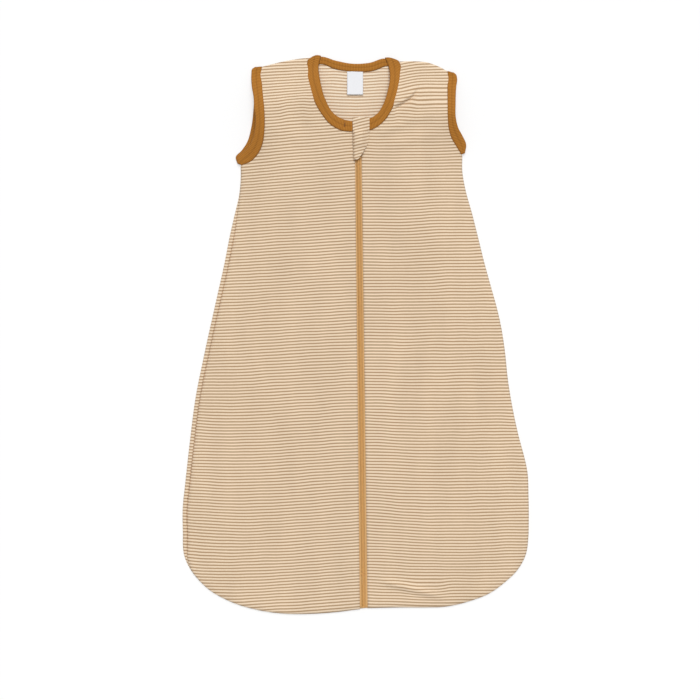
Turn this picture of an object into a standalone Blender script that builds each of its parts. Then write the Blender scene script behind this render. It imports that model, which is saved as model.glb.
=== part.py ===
"""Sleeveless baby sleeping bag of striped jersey with a full-length front zip.

The bag lies on its back: +Y runs to the neck, +X to the right as seen from above, +Z up through the front.
The origin is on the ground under the middle of the bag. All sizes are in metres.
"""
import math

import bmesh
import bpy
import numpy as np
from mathutils import Matrix, Vector

# Cloth thickness, and the clearance that every pair of touching pieces keeps
FABRIC = 0.0016
CLEAR = 0.0003

# The bag as it lies: overall length, half widths from the middle line, and the front's rise at the neck
BAG_LENGTH = 0.700
HEM_HALF = {"left": 0.2166, "right": 0.2167}
CHEST_HALF = {"left": 0.1438, "right": 0.1333}
LOFT = 0.0125
ROLL = 0.060

# Sides: where they start below the end of the armhole binding, and the flare from there to the corner of
# the hem as (share of the way down, share of the way out)
UNDERARM = 0.0042
FLARE = {
    "left": ((0.19, 0.17), (0.33, 0.34), (0.55, 0.63), (0.80, 0.87)),
    "right": ((0.22, 0.24), (0.47, 0.59), (0.61, 0.70), (0.77, 0.85), (0.86, 0.98)),
}

# Hem: each half's lift above the lowest point, and its rounded corner, a quarter of a superellipse
HEM_LIFT = {"left": 0.0, "right": 0.0083}
CORNER_WIDTH = {"left": 0.126, "right": 0.1096}
CORNER_HEIGHT = {"left": 0.1323, "right": 0.1054}
CORNER_POWER = {"left": 2.5, "right": 2.1}
CORNER_STEPS = 9

# Shoulder seams from the arm, as (inset from the chest, drop below the top), to the neck, as
# (distance from the neck binding, drop)
SHOULDER_ARM = {
    "left": ((0.0265, 0.0148), (0.0564, 0.0078)),
    "right": ((0.0182, 0.0207), (0.0282, 0.0153), (0.0432, 0.0098)),
}
SHOULDER_NECK = {"left": (0.0036, 0.0043), "right": (0.0007, 0.0083)}

# Rib bindings: their widths, thicknesses, and middle lines from the shoulder down, at the neck as
# (half width, drop) and at the arms as (inset from the chest, drop)
NECK_WIDTH = 0.013
BACK_NECK_WIDTH = 0.0095
ARM_WIDTH = {"left": 0.0125, "right": 0.0105}
RIB_FRONT = 0.0028
RIB_BACK = 0.0024
RIB_EASE = 0.025
NECK_LINE = {
    "left": ((0.0535, 0.0004), (0.0535, 0.0275), (0.0472, 0.0524), (0.0320, 0.0782), (0.0041, 0.0895)),
    "right": ((0.0480, 0.0060), (0.0497, 0.0275), (0.0466, 0.0456), (0.0380, 0.0700), (0.0230, 0.0860),
              (0.0077, 0.0895)),
}
BACK_NECK_LINE = ((-0.0490, 0.0056), (-0.0250, 0.0115), (-0.0041, 0.0150), (0.0227, 0.0140),
                  (0.0410, 0.0090))
ARM_LINE = {
    "left": ((0.0202, 0.0178), (0.0227, 0.0601), (0.0229, 0.0801), (0.0169, 0.1128), (0.0029, 0.1309),
             (-0.0021, 0.1353)),
    "right": ((0.0136, 0.0228), (0.0136, 0.0601), (0.0131, 0.0801), (0.0067, 0.1028), (0.0014, 0.1128),
              (-0.0001, 0.1241)),
}

# Seam allowances rolled inside the edge
SEAM_DIAMETER = 0.0016
SEAM_INSET = 0.003
SEAM_END_GAP = 0.020

# Zip line: its foot on the hem and its lean towards the left at the neck
ZIP_FOOT_X = 0.0101
ZIP_FOOT_LIFT = 0.0068
ZIP_LEAN = math.radians(0.704)

# Zip pieces, in the frame of the zip: x across, y up from the hem, z out of the cloth's inner face
TAPE_INNER = 0.0015
TAPE_OUTER = 0.0130
TAPE_THICKNESS = 0.0006
TAPE_DROP = 0.0037
COIL_PITCH = 0.0032
COIL_LOOP = 0.0012
COIL_REACH = 0.0009
COIL_SPINE = 0.0012
COIL_HALF = 0.0026
COIL_HEIGHT = 0.0016
CHAIN_END_START = 0.005
STOP_LENGTH = 0.0025
STOP_WIDTH = 0.0016

# Slider, bridge and pull tab; the slider and the tapes end so far below the middle of the neck binding
SLIDER_DROP = 0.0117
SLIDER_LENGTH = 0.013
SLIDER_HALF = 0.0040
SLIDER_CHAMFER = 0.0012
SLIDER_PLATE = 0.0010
SLIDER_GAP = 0.0004
FLANGE_INNER = 0.0031
FLANGE_OUTER = 0.0036
FLANGE_LOW = -0.0046
FLANGE_HIGH = 0.0020
DIAMOND_LENGTH = 0.0034
DIAMOND_SHOULDER = 0.0011
DIAMOND_HALF = 0.0011
BRIDGE_HALF_SPAN = 0.0034
BRIDGE_WIDTH = 0.0016
BRIDGE_STRAP = 0.0008
BRIDGE_INSIDE = 0.0020
PULL_LENGTH = 0.0225
PULL_HALF = 0.0030
PULL_WAIST = 0.0022
PULL_TAPER = 0.0020
PULL_GRIP = 0.0056
PULL_THICKNESS = 0.0010
PULL_BAR = 0.0010
PULL_BAR_RADIUS = 0.0006
PULL_BAR_SIDES = 16
PULL_EYE_HALF = 0.0017
PULL_EYE_LENGTH = 0.0040

# Front edges that turn back when the zip is open: the fold line leans out from the foot to the neck
FOLD_FOOT_Y = 0.045
FOLD_FOOT_X = 0.0076
FOLD_TOP_X = {"left": 0.0380, "right": 0.0300}
FOLD_OVERRUN = 0.050
FOLD_AXIS_HEIGHT = 0.0046
EDGE_GAP = 0.0008

# Chin guard over the top of the zip, measured from the zip line
GUARD_LEFT = 0.0068
GUARD_RIGHT = 0.0145
GUARD_LENGTH = 0.0525
GUARD_STRAIGHT = 0.0270
GUARD_OVERHANG = 0.0035
GUARD_THICKNESS = 0.0012
GUARD_RAMP = 0.012
GUARD_TIP = 0.0050
GUARD_SOFT = 0.0014

# Neck label, hanging from the back-neck binding
LABEL_WIDTH = 0.020
LABEL_LENGTH = 0.029
LABEL_THICKNESS = 0.0005
LABEL_X = -0.0008
LABEL_HINGE_RADIUS = 0.0005

# Worked out from the sizes above
SIGN = {"left": -1, "right": 1}
TOP = BAG_LENGTH / 2
EDGE_LOW = FABRIC + SEAM_DIAMETER + 2 * CLEAR
ZIP_RUN = Vector((-math.sin(ZIP_LEAN), math.cos(ZIP_LEAN)))
ZIP_FOOT = Vector((ZIP_FOOT_X, -TOP + ZIP_FOOT_LIFT))
ZIP_EDGE = SLIDER_HALF + EDGE_GAP
NECK_DROP = NECK_LINE["left"][-1][1]
ZIP_LENGTH = (BAG_LENGTH - NECK_DROP - ZIP_FOOT_LIFT) / math.cos(ZIP_LEAN)
RISE_ANGLE = math.atan(LOFT / ZIP_LENGTH)
TAPE_TOP = ZIP_LENGTH - TAPE_DROP
SLIDER_TOP = ZIP_LENGTH - SLIDER_DROP
SIDE_ON = Matrix(((0, 0, 1, 0), (1, 0, 0, 0), (0, 1, 0, 0), (0, 0, 0, 1)))

# Height of the cutters and spacing of the front sheet's grid
TALL = 0.2
GRID_STEP = 0.020


def start_scene():
    """Empty scene with one collection for the pieces and one for the cutters and guides."""
    for old in list(bpy.data.objects):
        bpy.data.objects.remove(old, do_unlink=True)
    groups = {}
    for name in ("baby_sleeping_bag", "cutters"):
        groups[name] = bpy.data.collections.new(name)
        bpy.context.scene.collection.children.link(groups[name])
    return groups["baby_sleeping_bag"], groups["cutters"]


def finish_material(name, colour, roughness, metallic=0.0):
    """A plain finish in one colour."""
    made = bpy.data.materials.new(name)
    made.use_nodes = True
    shader = made.node_tree.nodes["Principled BSDF"]
    shader.inputs["Base Color"].default_value = (*colour, 1.0)
    shader.inputs["Roughness"].default_value = roughness
    shader.inputs["Metallic"].default_value = metallic
    made.diffuse_color = (*colour, 1.0)
    return made


def add_piece(name, data, finish, matrix=None):
    """A named piece of the bag."""
    piece = bpy.data.objects.new(name, data)
    data.materials.append(finish)
    PIECES.objects.link(piece)
    if matrix is not None:
        piece.matrix_world = matrix
    return piece


def add_cutter(name, data, matrix=None):
    """A shape that cuts or guides a piece and is no piece itself."""
    cutter = bpy.data.objects.new(name, data)
    CUTTERS.objects.link(cutter)
    cutter.hide_render = True
    cutter.display_type = "WIRE"
    if matrix is not None:
        cutter.matrix_world = matrix
    return cutter


def combine(piece, operation, other):
    """A Boolean step on a piece."""
    step = piece.modifiers.new(f"{operation.lower()}_{other.name}", "BOOLEAN")
    step.operation = operation
    step.object = other
    return step


def smooth_path(points, steps):
    """Points along a smooth curve through the given ones, with so many steps between each pair."""
    knots = [Vector(point) for point in points]
    knots = [2 * knots[0] - knots[1], *knots, 2 * knots[-1] - knots[-2]]
    path = []
    for a, b, c, d in zip(knots, knots[1:], knots[2:], knots[3:]):
        for step in range(steps):
            t = step / steps
            bend = (c - a) * t + (2 * a - 5 * b + 4 * c - d) * t**2 + (3 * b - a - 3 * c + d) * t**3
            path.append(b + 0.5 * bend)
    path.append(knots[-2])
    return path


def offset_path(path, distance):
    """The path moved sideways, to its left where the distance is positive."""
    moved = []
    for place, point in enumerate(path):
        ahead = path[min(place + 1, len(path) - 1)]
        behind = path[max(place - 1, 0)]
        run = (ahead - behind).normalized()
        moved.append(point + distance * Vector((-run.y, run.x)))
    return moved


def from_top(side, points):
    """Plan points of one half from pairs of half width and drop below the top."""
    return [Vector((SIGN[side] * half, TOP - drop)) for half, drop in points]


def side_edge(side):
    """Sewn edge of one half, from the armpit down the flare and round the corner of the hem."""
    chest = CHEST_HALF[side]
    hem = HEM_HALF[side]
    armpit = TOP - ARM_LINE[side][-1][1] - UNDERARM
    low = -TOP + HEM_LIFT[side]
    corner = low + CORNER_HEIGHT[side]
    points = [Vector((chest, armpit))]
    for down, out in FLARE[side]:
        points.append(Vector((chest + (hem - chest) * out, armpit + (corner - armpit) * down)))
    points.append(Vector((hem, corner)))
    path = smooth_path(points, 3)
    for step in range(1, CORNER_STEPS + 1):
        turn = math.pi / 2 * step / CORNER_STEPS
        across = max(math.cos(turn), 0.0) ** (2 / CORNER_POWER[side])
        down = math.sin(turn) ** (2 / CORNER_POWER[side])
        x = hem - CORNER_WIDTH[side] * (1 - across)
        path.append(Vector((x, corner - CORNER_HEIGHT[side] * down)))
    return [Vector((SIGN[side] * point.x, point.y)) for point in path]


def from_chest(side, points):
    """Plan points of one half from pairs of inset from the chest and drop below the top."""
    return from_top(side, [(CHEST_HALF[side] - inset, drop) for inset, drop in points])


def shoulder_edge(side):
    """Sewn edge of one shoulder, from the arm to the neck."""
    beyond, drop = SHOULDER_NECK[side]
    neck = from_top(side, [(NECK_LINE[side][0][0] + NECK_WIDTH / 2 + beyond, drop)])
    return smooth_path(from_chest(side, SHOULDER_ARM[side]) + neck, 3)


def neck_line(side):
    """Middle of the front-neck binding of one half, from the shoulder to the zip."""
    return smooth_path(from_top(side, NECK_LINE[side]), 6)


def arm_line(side):
    """Middle of the armhole binding of one half, from the shoulder to the armpit."""
    return smooth_path(from_chest(side, ARM_LINE[side]), 4)


def back_neck_line():
    """Middle of the back-neck binding, from left to right."""
    return smooth_path([(x, TOP - drop) for x, drop in BACK_NECK_LINE], 5)


def arm_edge(side):
    """Edge of the cloth along the armhole binding."""
    return offset_path(arm_line(side), -SIGN[side] * (ARM_WIDTH[side] / 2 + CLEAR))


def distance_to(path, x, y):
    """Plan distance from points to a path."""
    nearest = np.full(np.shape(x), np.inf)
    for start, end in zip(path, path[1:]):
        run = end - start
        share = ((x - start.x) * run.x + (y - start.y) * run.y) / run.length_squared
        share = np.clip(share, 0.0, 1.0)
        gap = np.hypot(x - start.x - share * run.x, y - start.y - share * run.y)
        nearest = np.minimum(nearest, gap)
    return nearest


def ease(share):
    """Smooth step from 0 to 1."""
    share = np.clip(share, 0.0, 1.0)
    return share * share * (3 - 2 * share)


def front_low(x, y):
    """Height of the front's inner face: a plane that rises to the neck, rolled down to the sewn edges."""
    along = (x - ZIP_FOOT.x) * ZIP_RUN.x + (y - ZIP_FOOT.y) * ZIP_RUN.y
    plane = np.maximum(along, 0.0) * math.tan(RISE_ANGLE)
    gap = np.minimum.reduce([distance_to(path, x, y) for path in SEWN_EDGES])
    return EDGE_LOW + plane * ease(gap / ROLL)


def zip_frame():
    """Frame of the zip line: origin at its foot, y up the zip, z out of the front."""
    lift = Matrix.Translation((ZIP_FOOT.x, ZIP_FOOT.y, EDGE_LOW))
    return lift @ Matrix.Rotation(ZIP_LEAN, 4, "Z") @ Matrix.Rotation(RISE_ANGLE, 4, "X")


def outline_curve(name, outlines, thickness):
    """Flat outline, with holes after the first outline, extruded both ways from its plane."""
    curve = bpy.data.curves.new(name, "CURVE")
    curve.dimensions = "2D"
    curve.fill_mode = "BOTH"
    curve.extrude = thickness / 2
    for outline in outlines:
        spline = curve.splines.new("POLY")
        spline.points.add(len(outline) - 1)
        for point, place in zip(spline.points, outline):
            point.co = (place[0], place[1], 0.0, 1.0)
        spline.use_cyclic_u = True
    return curve


def mesh_of(curve, name):
    """Closed mesh of a curve, with its loose caps welded on."""
    carrier = bpy.data.objects.new(name, curve)
    CUTTERS.objects.link(carrier)
    bpy.context.view_layer.update()
    evaluated = carrier.evaluated_get(bpy.context.evaluated_depsgraph_get())
    mesh = bpy.data.meshes.new_from_object(evaluated)
    mesh.name = name
    bpy.data.objects.remove(carrier, do_unlink=True)
    work = bmesh.new()
    work.from_mesh(mesh)
    bmesh.ops.remove_doubles(work, verts=work.verts, dist=1e-6)
    bmesh.ops.recalc_face_normals(work, faces=work.faces)
    work.to_mesh(mesh)
    work.free()
    mesh.materials.clear()
    return mesh


def plate(name, outlines, low, thickness, finish, frame):
    """Flat piece with its lower face at a height in the given frame."""
    curve = outline_curve(name, outlines, thickness)
    return add_piece(name, curve, finish, frame @ Matrix.Translation((0, 0, low + thickness / 2)))


def prism(name, outline, frame):
    """Tall cutter over an outline."""
    return add_cutter(name, mesh_of(outline_curve(name, [outline], TALL), name), frame)


def strip_profile(name, width, thickness):
    """Cross-section of a folded rib band: flat with rounded edges."""
    soft = thickness / 3
    half = width / 2
    rise = thickness / 2
    corners = [(half, soft), (half - soft, rise), (soft - half, rise), (-half, soft)]
    outline = corners + [(-x, -y) for x, y in corners]
    curve = outline_curve(name, [outline], 0.0)
    curve.fill_mode = "NONE"
    return add_cutter(name, curve)


def strip(name, path, heights, profile):
    """Mesh of a band that follows a plan path at the given heights, its width kept level."""
    curve = bpy.data.curves.new(name, "CURVE")
    curve.dimensions = "3D"
    curve.twist_mode = "Z_UP"
    curve.bevel_mode = "OBJECT"
    curve.bevel_object = profile
    curve.use_fill_caps = True
    spline = curve.splines.new("POLY")
    spline.points.add(len(path) - 1)
    for point, place, height in zip(spline.points, path, heights):
        point.co = (place.x, place.y, height, 1.0)
    return mesh_of(curve, name)


def path_lengths(path):
    """Distance along a path at each of its points."""
    lengths = [0.0]
    for start, end in zip(path, path[1:]):
        lengths.append(lengths[-1] + (end - start).length)
    return np.array(lengths)


def heights_on_front(path, thickness):
    """Middle height of a band that lies with its lower face level with the front's inner face."""
    x = np.array([point.x for point in path])
    y = np.array([point.y for point in path])
    return front_low(x, y) + thickness / 2


def half_outline(side):
    """Plan of one half of the front, from the neck down the zip, round the hem and up the side."""
    sign = SIGN[side]
    neck = offset_path(neck_line(side), sign * (NECK_WIDTH / 2 + CLEAR))
    edge = (FRAME @ Vector((sign * ZIP_EDGE, 0.0, 0.0))).to_2d()
    top = edge + ZIP_RUN * (ZIP_LENGTH - NECK_WIDTH / 2 - CLEAR)
    shoulder = shoulder_edge(side)
    neck = [point for point in neck if sign * (point - top).x > 0 and point.y < shoulder[-1].y]
    foot = Vector((edge.x, ZIP_FOOT.y))
    hem = side_edge(side)
    return neck + [top, foot] + hem[::-1] + arm_edge(side)[::-1] + shoulder


def fold_lean(side):
    """Slope of a fold line away from the zip."""
    return (FOLD_TOP_X[side] - FOLD_FOOT_X) / (ZIP_LENGTH - FOLD_FOOT_Y)


def fold_outline(side, spare):
    """Region in the zip frame that turns back with a front edge, grown by a spare gap at its fold."""
    sign = SIGN[side]
    foot_y = FOLD_FOOT_Y - spare
    top_y = ZIP_LENGTH + FOLD_OVERRUN
    foot = FOLD_FOOT_X + spare + fold_lean(side) * (foot_y - FOLD_FOOT_Y)
    top = FOLD_FOOT_X + spare + fold_lean(side) * (top_y - FOLD_FOOT_Y)
    return [(0.0, foot_y), (sign * foot, foot_y), (sign * top, top_y), (0.0, top_y)]


def front_sheet(name):
    """Open sheet of the front's inner face, which Solidify and the outlines finish."""
    wide = HEM_HALF["left"] + HEM_HALF["right"] + GRID_STEP
    tall = BAG_LENGTH + GRID_STEP
    work = bmesh.new()
    columns = round(wide / GRID_STEP)
    rows = round(tall / GRID_STEP)
    bmesh.ops.create_grid(work, x_segments=columns, y_segments=rows, size=0.5)
    bmesh.ops.scale(work, vec=(wide, tall, 1.0), verts=work.verts)
    heights = front_low(np.array([v.co.x for v in work.verts]), np.array([v.co.y for v in work.verts]))
    for vertex, height in zip(work.verts, heights):
        vertex.co.z = height
    mesh = bpy.data.meshes.new(name)
    work.to_mesh(mesh)
    work.free()
    return mesh


def front_piece(name, steps, finish):
    """Piece of the front: the sheet, thickened outwards, then cut by the given outlines."""
    piece = add_piece(name, front_sheet(name), finish)
    wall = piece.modifiers.new("cloth", "SOLIDIFY")
    wall.thickness = FABRIC
    wall.offset = 1.0
    for operation, cutter in steps:
        combine(piece, operation, cutter)
    return piece


def seam_roll(name, path, finish):
    """Overlocked allowance between front and back, just inside a sewn edge."""
    curve = bpy.data.curves.new(name, "CURVE")
    curve.dimensions = "3D"
    curve.bevel_depth = SEAM_DIAMETER / 2
    curve.bevel_resolution = 1
    curve.use_fill_caps = True
    spline = curve.splines.new("POLY")
    spline.points.add(len(path) - 1)
    for point, place in zip(spline.points, path):
        point.co = (place.x, place.y, FABRIC + CLEAR + SEAM_DIAMETER / 2, 1.0)
    return add_piece(name, curve, finish)


def comb(sign, start, count):
    """Outline of one coil: a spine on the tape with a loop head at every pitch, past the zip line."""
    half_step = 0.0 if sign < 0 else COIL_PITCH / 2
    outline = []
    for place in range(count):
        low = start + half_step + place * COIL_PITCH
        high = low + COIL_LOOP
        outline += [(sign * COIL_SPINE, low), (-sign * COIL_REACH, low)]
        outline += [(-sign * COIL_REACH, high), (sign * COIL_SPINE, high)]
    end = start + half_step + count * COIL_PITCH - COIL_LOOP
    outline += [(sign * COIL_HALF, end), (sign * COIL_HALF, start + half_step)]
    return outline


def comb_plate(name, outline, finish):
    """Coil of one half, its comb outline raised from the tape as one face."""
    work = bmesh.new()
    work.faces.new([work.verts.new((x, y, 0.0)) for x, y in outline])
    raised = bmesh.ops.extrude_face_region(work, geom=work.faces[:])["geom"]
    top = [item for item in raised if isinstance(item, bmesh.types.BMVert)]
    bmesh.ops.translate(work, vec=(0.0, 0.0, COIL_HEIGHT), verts=top)
    bmesh.ops.recalc_face_normals(work, faces=work.faces)
    mesh = bpy.data.meshes.new(name)
    work.to_mesh(mesh)
    work.free()
    return add_piece(name, mesh, finish, FRAME)


def joint_axis(name, matrix):
    """Empty on a joint's axis, which carries the pieces that move with it."""
    axis = bpy.data.objects.new(name, None)
    axis.empty_display_size = 0.01
    PIECES.objects.link(axis)
    axis.matrix_world = matrix
    bpy.context.view_layer.update()
    return axis


def carry(axis, pieces):
    """Parent pieces to an axis, each staying where it is."""
    for piece in pieces:
        piece.parent = axis
        piece.matrix_parent_inverse = axis.matrix_world.inverted()


def build_back():
    """Back panel, flat on the ground, with its neck binding and the seam rolls on its edge."""
    neck = offset_path(back_neck_line(), -(BACK_NECK_WIDTH / 2 + CLEAR))
    outline = neck[:]
    for side in ("right", "left"):
        half = shoulder_edge(side)[::-1] + arm_edge(side) + side_edge(side)
        outline += half if side == "right" else half[::-1]
    plate("back_panel", [outline], 0.0, FABRIC, JERSEY, Matrix.Identity(4))
    path = back_neck_line()
    profile = strip_profile("back_neck_profile", BACK_NECK_WIDTH, RIB_BACK)
    heights = np.full(len(path), CLEAR + RIB_BACK / 2)
    add_piece("neck_binding_back", strip("neck_binding_back", path, heights, profile), RIB)
    for side in ("left", "right"):
        inward = SEAM_INSET * SIGN[side]
        edge = offset_path(side_edge(side), -inward)
        rest = [point for point in edge[1:] if abs(point.x - ZIP_FOOT.x) > SEAM_END_GAP]
        seam_roll(f"side_seam_{side}", rest, THREAD)
        shoulder = offset_path(shoulder_edge(side), inward)
        seam_roll(f"shoulder_seam_{side}", shoulder, THREAD)


def build_front(side, half, fold, fold_wide):
    """One half of the front: the panel that stays down and the edge that turns back."""
    keep = [("INTERSECT", half), ("DIFFERENCE", fold_wide)]
    front_piece(f"front_panel_{side}", keep, JERSEY)
    turn = [("INTERSECT", half), ("INTERSECT", fold)]
    return front_piece(f"front_edge_{side}", turn, JERSEY)


def build_neck_band(side, fold, fold_wide):
    """Front-neck binding of one half, in a run from the shoulder and an end on the front edge."""
    path = neck_line(side)
    on_back = 2 * CLEAR + RIB_BACK + RIB_FRONT / 2
    rise = ease(path_lengths(path) / RIB_EASE)
    heights = on_back + (heights_on_front(path, RIB_FRONT) - on_back) * rise
    profile = strip_profile(f"neck_profile_{side}", NECK_WIDTH, RIB_FRONT)
    name = f"neck_binding_{side}"
    combine(add_piece(name, strip(name, path, heights, profile), RIB), "DIFFERENCE", fold_wide)
    end = f"{name}_end"
    piece = add_piece(end, strip(end, path, heights, profile), RIB)
    combine(piece, "INTERSECT", fold)
    return piece


def build_arm_band(side):
    """Armhole binding of one half: a band on the front edge and one on the back, joined at both ends."""
    name = f"armhole_binding_{side}"
    path = arm_line(side)
    lengths = path_lengths(path)
    to_end = np.minimum(lengths, lengths[-1] - lengths)
    low = CLEAR + RIB_BACK / 2
    heights = low + (heights_on_front(path, RIB_FRONT) - low) * ease(to_end / RIB_EASE)
    heights += RIB_FRONT - RIB_BACK
    front_profile = strip_profile(f"arm_profile_front_{side}", ARM_WIDTH[side], RIB_FRONT)
    back_profile = strip_profile(f"arm_profile_back_{side}", ARM_WIDTH[side] - CLEAR, RIB_BACK)
    piece = add_piece(name, strip(name, path, heights, front_profile), RIB)
    back_path = path[:]
    back_path[0] = path[0] + (path[1] - path[0]).normalized() * CLEAR
    back_path[-1] = path[-1] + (path[-2] - path[-1]).normalized() * CLEAR
    back = strip(f"{name}_back", back_path, np.full(len(path), low), back_profile)
    combine(piece, "UNION", add_cutter(f"{name}_back", back))


def build_zip(side):
    """Tape, coil and top stop of one half, and the closed end of its coil at the hem."""
    sign = SIGN[side]
    tape = [(sign * TAPE_INNER, CHAIN_END_START), (sign * TAPE_OUTER, CHAIN_END_START)]
    tape += [(sign * TAPE_OUTER, TAPE_TOP), (sign * TAPE_INNER, TAPE_TOP)]
    tape_low = -CLEAR - TAPE_THICKNESS
    tape_piece = plate(f"zip_tape_{side}", [tape], tape_low, TAPE_THICKNESS, TAPE, FRAME)
    coil_top = SLIDER_TOP - DIAMOND_LENGTH - 2 * CLEAR
    loops = int((coil_top - FOLD_FOOT_Y - COIL_PITCH) / COIL_PITCH)
    coil = comb_plate(f"zip_coil_{side}", comb(sign, FOLD_FOOT_Y, loops), COIL)
    end_loops = int((FOLD_FOOT_Y - CHAIN_END_START - STOP_LENGTH - 2 * CLEAR) / COIL_PITCH - 0.5)
    comb_plate(f"zip_coil_end_{side}", comb(sign, CHAIN_END_START, end_loops), COIL)
    near = sign * TAPE_INNER
    far = sign * (TAPE_INNER + STOP_WIDTH)
    low = SLIDER_TOP + 2 * CLEAR
    stop = [(near, low), (far, low), (far, low + STOP_LENGTH), (near, low + STOP_LENGTH)]
    top_stop = plate(f"zip_top_stop_{side}", [stop], 0.0, COIL_HEIGHT, COIL, FRAME)
    return [tape_piece, coil, top_stop]


def build_bottom_stop():
    """Stop across both coils just below the front edges."""
    high = FOLD_FOOT_Y - CLEAR
    low = high - STOP_LENGTH
    outline = [(-COIL_HALF, low), (COIL_HALF, low), (COIL_HALF, high), (-COIL_HALF, high)]
    plate("zip_bottom_stop", [outline], 0.0, COIL_HEIGHT, COIL, FRAME)


def chamfered(half_wide, half_long, cut):
    """Outline of a rectangle with its corners cut."""
    corners = [(half_wide, half_long - cut), (half_wide - cut, half_long)]
    corners += [(-x, y) for x, y in corners[::-1]]
    return corners + [(-x, -y) for x, y in corners]


def slab(name, outline, low, thickness, frame):
    """Mesh of a flat shape and its place in a frame."""
    mesh = mesh_of(outline_curve(name, [outline], thickness), name)
    return mesh, frame @ Matrix.Translation((0.0, 0.0, low + thickness / 2))


def build_slider():
    """Slider on the chain: two plates joined by a diamond between the throats, and flanges by the coils."""
    half = SLIDER_LENGTH / 2
    frame = FRAME @ Matrix.Translation((0.0, SLIDER_TOP - half, 0.0))
    under = -CLEAR - TAPE_THICKNESS - CLEAR - SLIDER_PLATE
    over = COIL_HEIGHT + SLIDER_GAP
    lap = SLIDER_PLATE / 2
    shield = chamfered(SLIDER_HALF, half, SLIDER_CHAMFER)
    mesh, place = slab("slider_body", shield, over, SLIDER_PLATE, frame)
    body = add_piece("slider_body", mesh, ENAMEL, place)
    shoulder = half - DIAMOND_SHOULDER
    diamond = [(0.0, half - CLEAR), (-DIAMOND_HALF, shoulder), (0.0, half - DIAMOND_LENGTH)]
    diamond.append((DIAMOND_HALF, shoulder))
    shapes = [("slider_under_plate", shield, under, SLIDER_PLATE)]
    shapes.append(("slider_diamond", diamond, under + lap, over - under))
    for side, sign in SIGN.items():
        inner = sign * FLANGE_INNER
        outer = sign * FLANGE_OUTER
        wall = [(inner, FLANGE_LOW), (outer, FLANGE_LOW), (outer, FLANGE_HIGH), (inner, FLANGE_HIGH)]
        shapes.append((f"slider_flange_{side}", wall, CLEAR, over + lap - CLEAR))
    for name, outline, low, thickness in shapes:
        mesh, place = slab(name, outline, low, thickness, frame)
        combine(body, "UNION", add_cutter(name, mesh, place))
    top = over + SLIDER_PLATE
    foot = top + CLEAR
    crown = top + BRIDGE_INSIDE + BRIDGE_STRAP
    span = BRIDGE_HALF_SPAN
    inside = BRIDGE_HALF_SPAN - BRIDGE_STRAP
    shelf = crown - BRIDGE_STRAP
    arch = [(span, foot), (span, shelf), (inside, crown), (-inside, crown), (-span, shelf), (-span, foot)]
    arch += [(-inside, foot), (-inside, shelf), (inside, shelf), (inside, foot)]
    curve = outline_curve("slider_bridge", [arch], BRIDGE_WIDTH)
    bridge = add_piece("slider_bridge", curve, ENAMEL, frame @ SIDE_ON)
    return [body, bridge], frame @ Matrix.Translation((0.0, 0.0, top + CLEAR + PULL_THICKNESS / 2)), crown


def build_pull(frame):
    """Pull tab: a tapered plate with an eye round the bridge, hinged on the round bar that ends the eye."""
    half_bar = PULL_BAR / 2
    eye_end = -half_bar - PULL_EYE_LENGTH
    grip_top = PULL_GRIP - PULL_LENGTH
    right = [(PULL_HALF, half_bar), (PULL_HALF, eye_end), (PULL_WAIST, eye_end - PULL_TAPER)]
    right += [(PULL_WAIST, grip_top), (PULL_HALF, PULL_GRIP / 2 - PULL_LENGTH), (PULL_WAIST, -PULL_LENGTH)]
    outer = right + [(-x, y) for x, y in right[::-1]]
    eye = [(PULL_EYE_HALF, -half_bar), (-PULL_EYE_HALF, -half_bar), (-PULL_EYE_HALF, eye_end),
           (PULL_EYE_HALF, eye_end)]
    curve = outline_curve("pull_tab", [outer, eye], PULL_THICKNESS)
    pull = add_piece("pull_tab", mesh_of(curve, "pull_tab"), ENAMEL, frame)
    turn = [2 * math.pi * step / PULL_BAR_SIDES for step in range(PULL_BAR_SIDES)]
    round_bar = [(PULL_BAR_RADIUS * math.cos(angle), PULL_BAR_RADIUS * math.sin(angle)) for angle in turn]
    bar = mesh_of(outline_curve("pull_bar", [round_bar], 2 * (PULL_HALF - CLEAR)), "pull_bar")
    combine(pull, "UNION", add_cutter("pull_bar", bar, frame @ SIDE_ON))
    return pull


def build_guard(crown):
    """Chin guard: cloth that starts on the neck binding and rises over the slider to a pointed end."""
    top = ZIP_LENGTH + NECK_WIDTH / 2 + GUARD_OVERHANG
    low = top - GUARD_LENGTH
    on_rib = RIB_FRONT + CLEAR
    over = crown + CLEAR
    ramp_top = SLIDER_TOP + STOP_LENGTH + 4 * CLEAR
    side = [(low - GUARD_SOFT, over), (ramp_top, over), (ramp_top + GUARD_RAMP, on_rib), (top, on_rib)]
    side += [(y, z + GUARD_THICKNESS) for y, z in side[::-1]]
    wide = GUARD_LEFT + GUARD_RIGHT
    curve = outline_curve("chin_guard", [side], wide)
    across = Matrix.Translation(((GUARD_RIGHT - GUARD_LEFT) / 2, 0.0, 0.0))
    guard = add_piece("chin_guard", mesh_of(curve, "chin_guard"), JERSEY, FRAME @ across @ SIDE_ON)
    left = -GUARD_LEFT
    tip = left + GUARD_TIP
    slant = GUARD_LENGTH - GUARD_STRAIGHT - GUARD_SOFT
    past = wide * slant / (GUARD_RIGHT - tip - GUARD_SOFT)
    plan = [(left - wide, top + wide), (GUARD_RIGHT + wide, top + wide)]
    plan += [(GUARD_RIGHT + wide, top - GUARD_STRAIGHT + past), (tip + GUARD_SOFT, low + GUARD_SOFT)]
    plan += [(tip - GUARD_SOFT, low), (left + GUARD_SOFT, low), (left - wide, low + GUARD_SOFT + wide)]
    combine(guard, "INTERSECT", prism("chin_guard_plan", plan, FRAME))
    hinge = FRAME @ Matrix.Translation((0.0, top, on_rib + GUARD_THICKNESS + CLEAR))
    return guard, hinge


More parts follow.
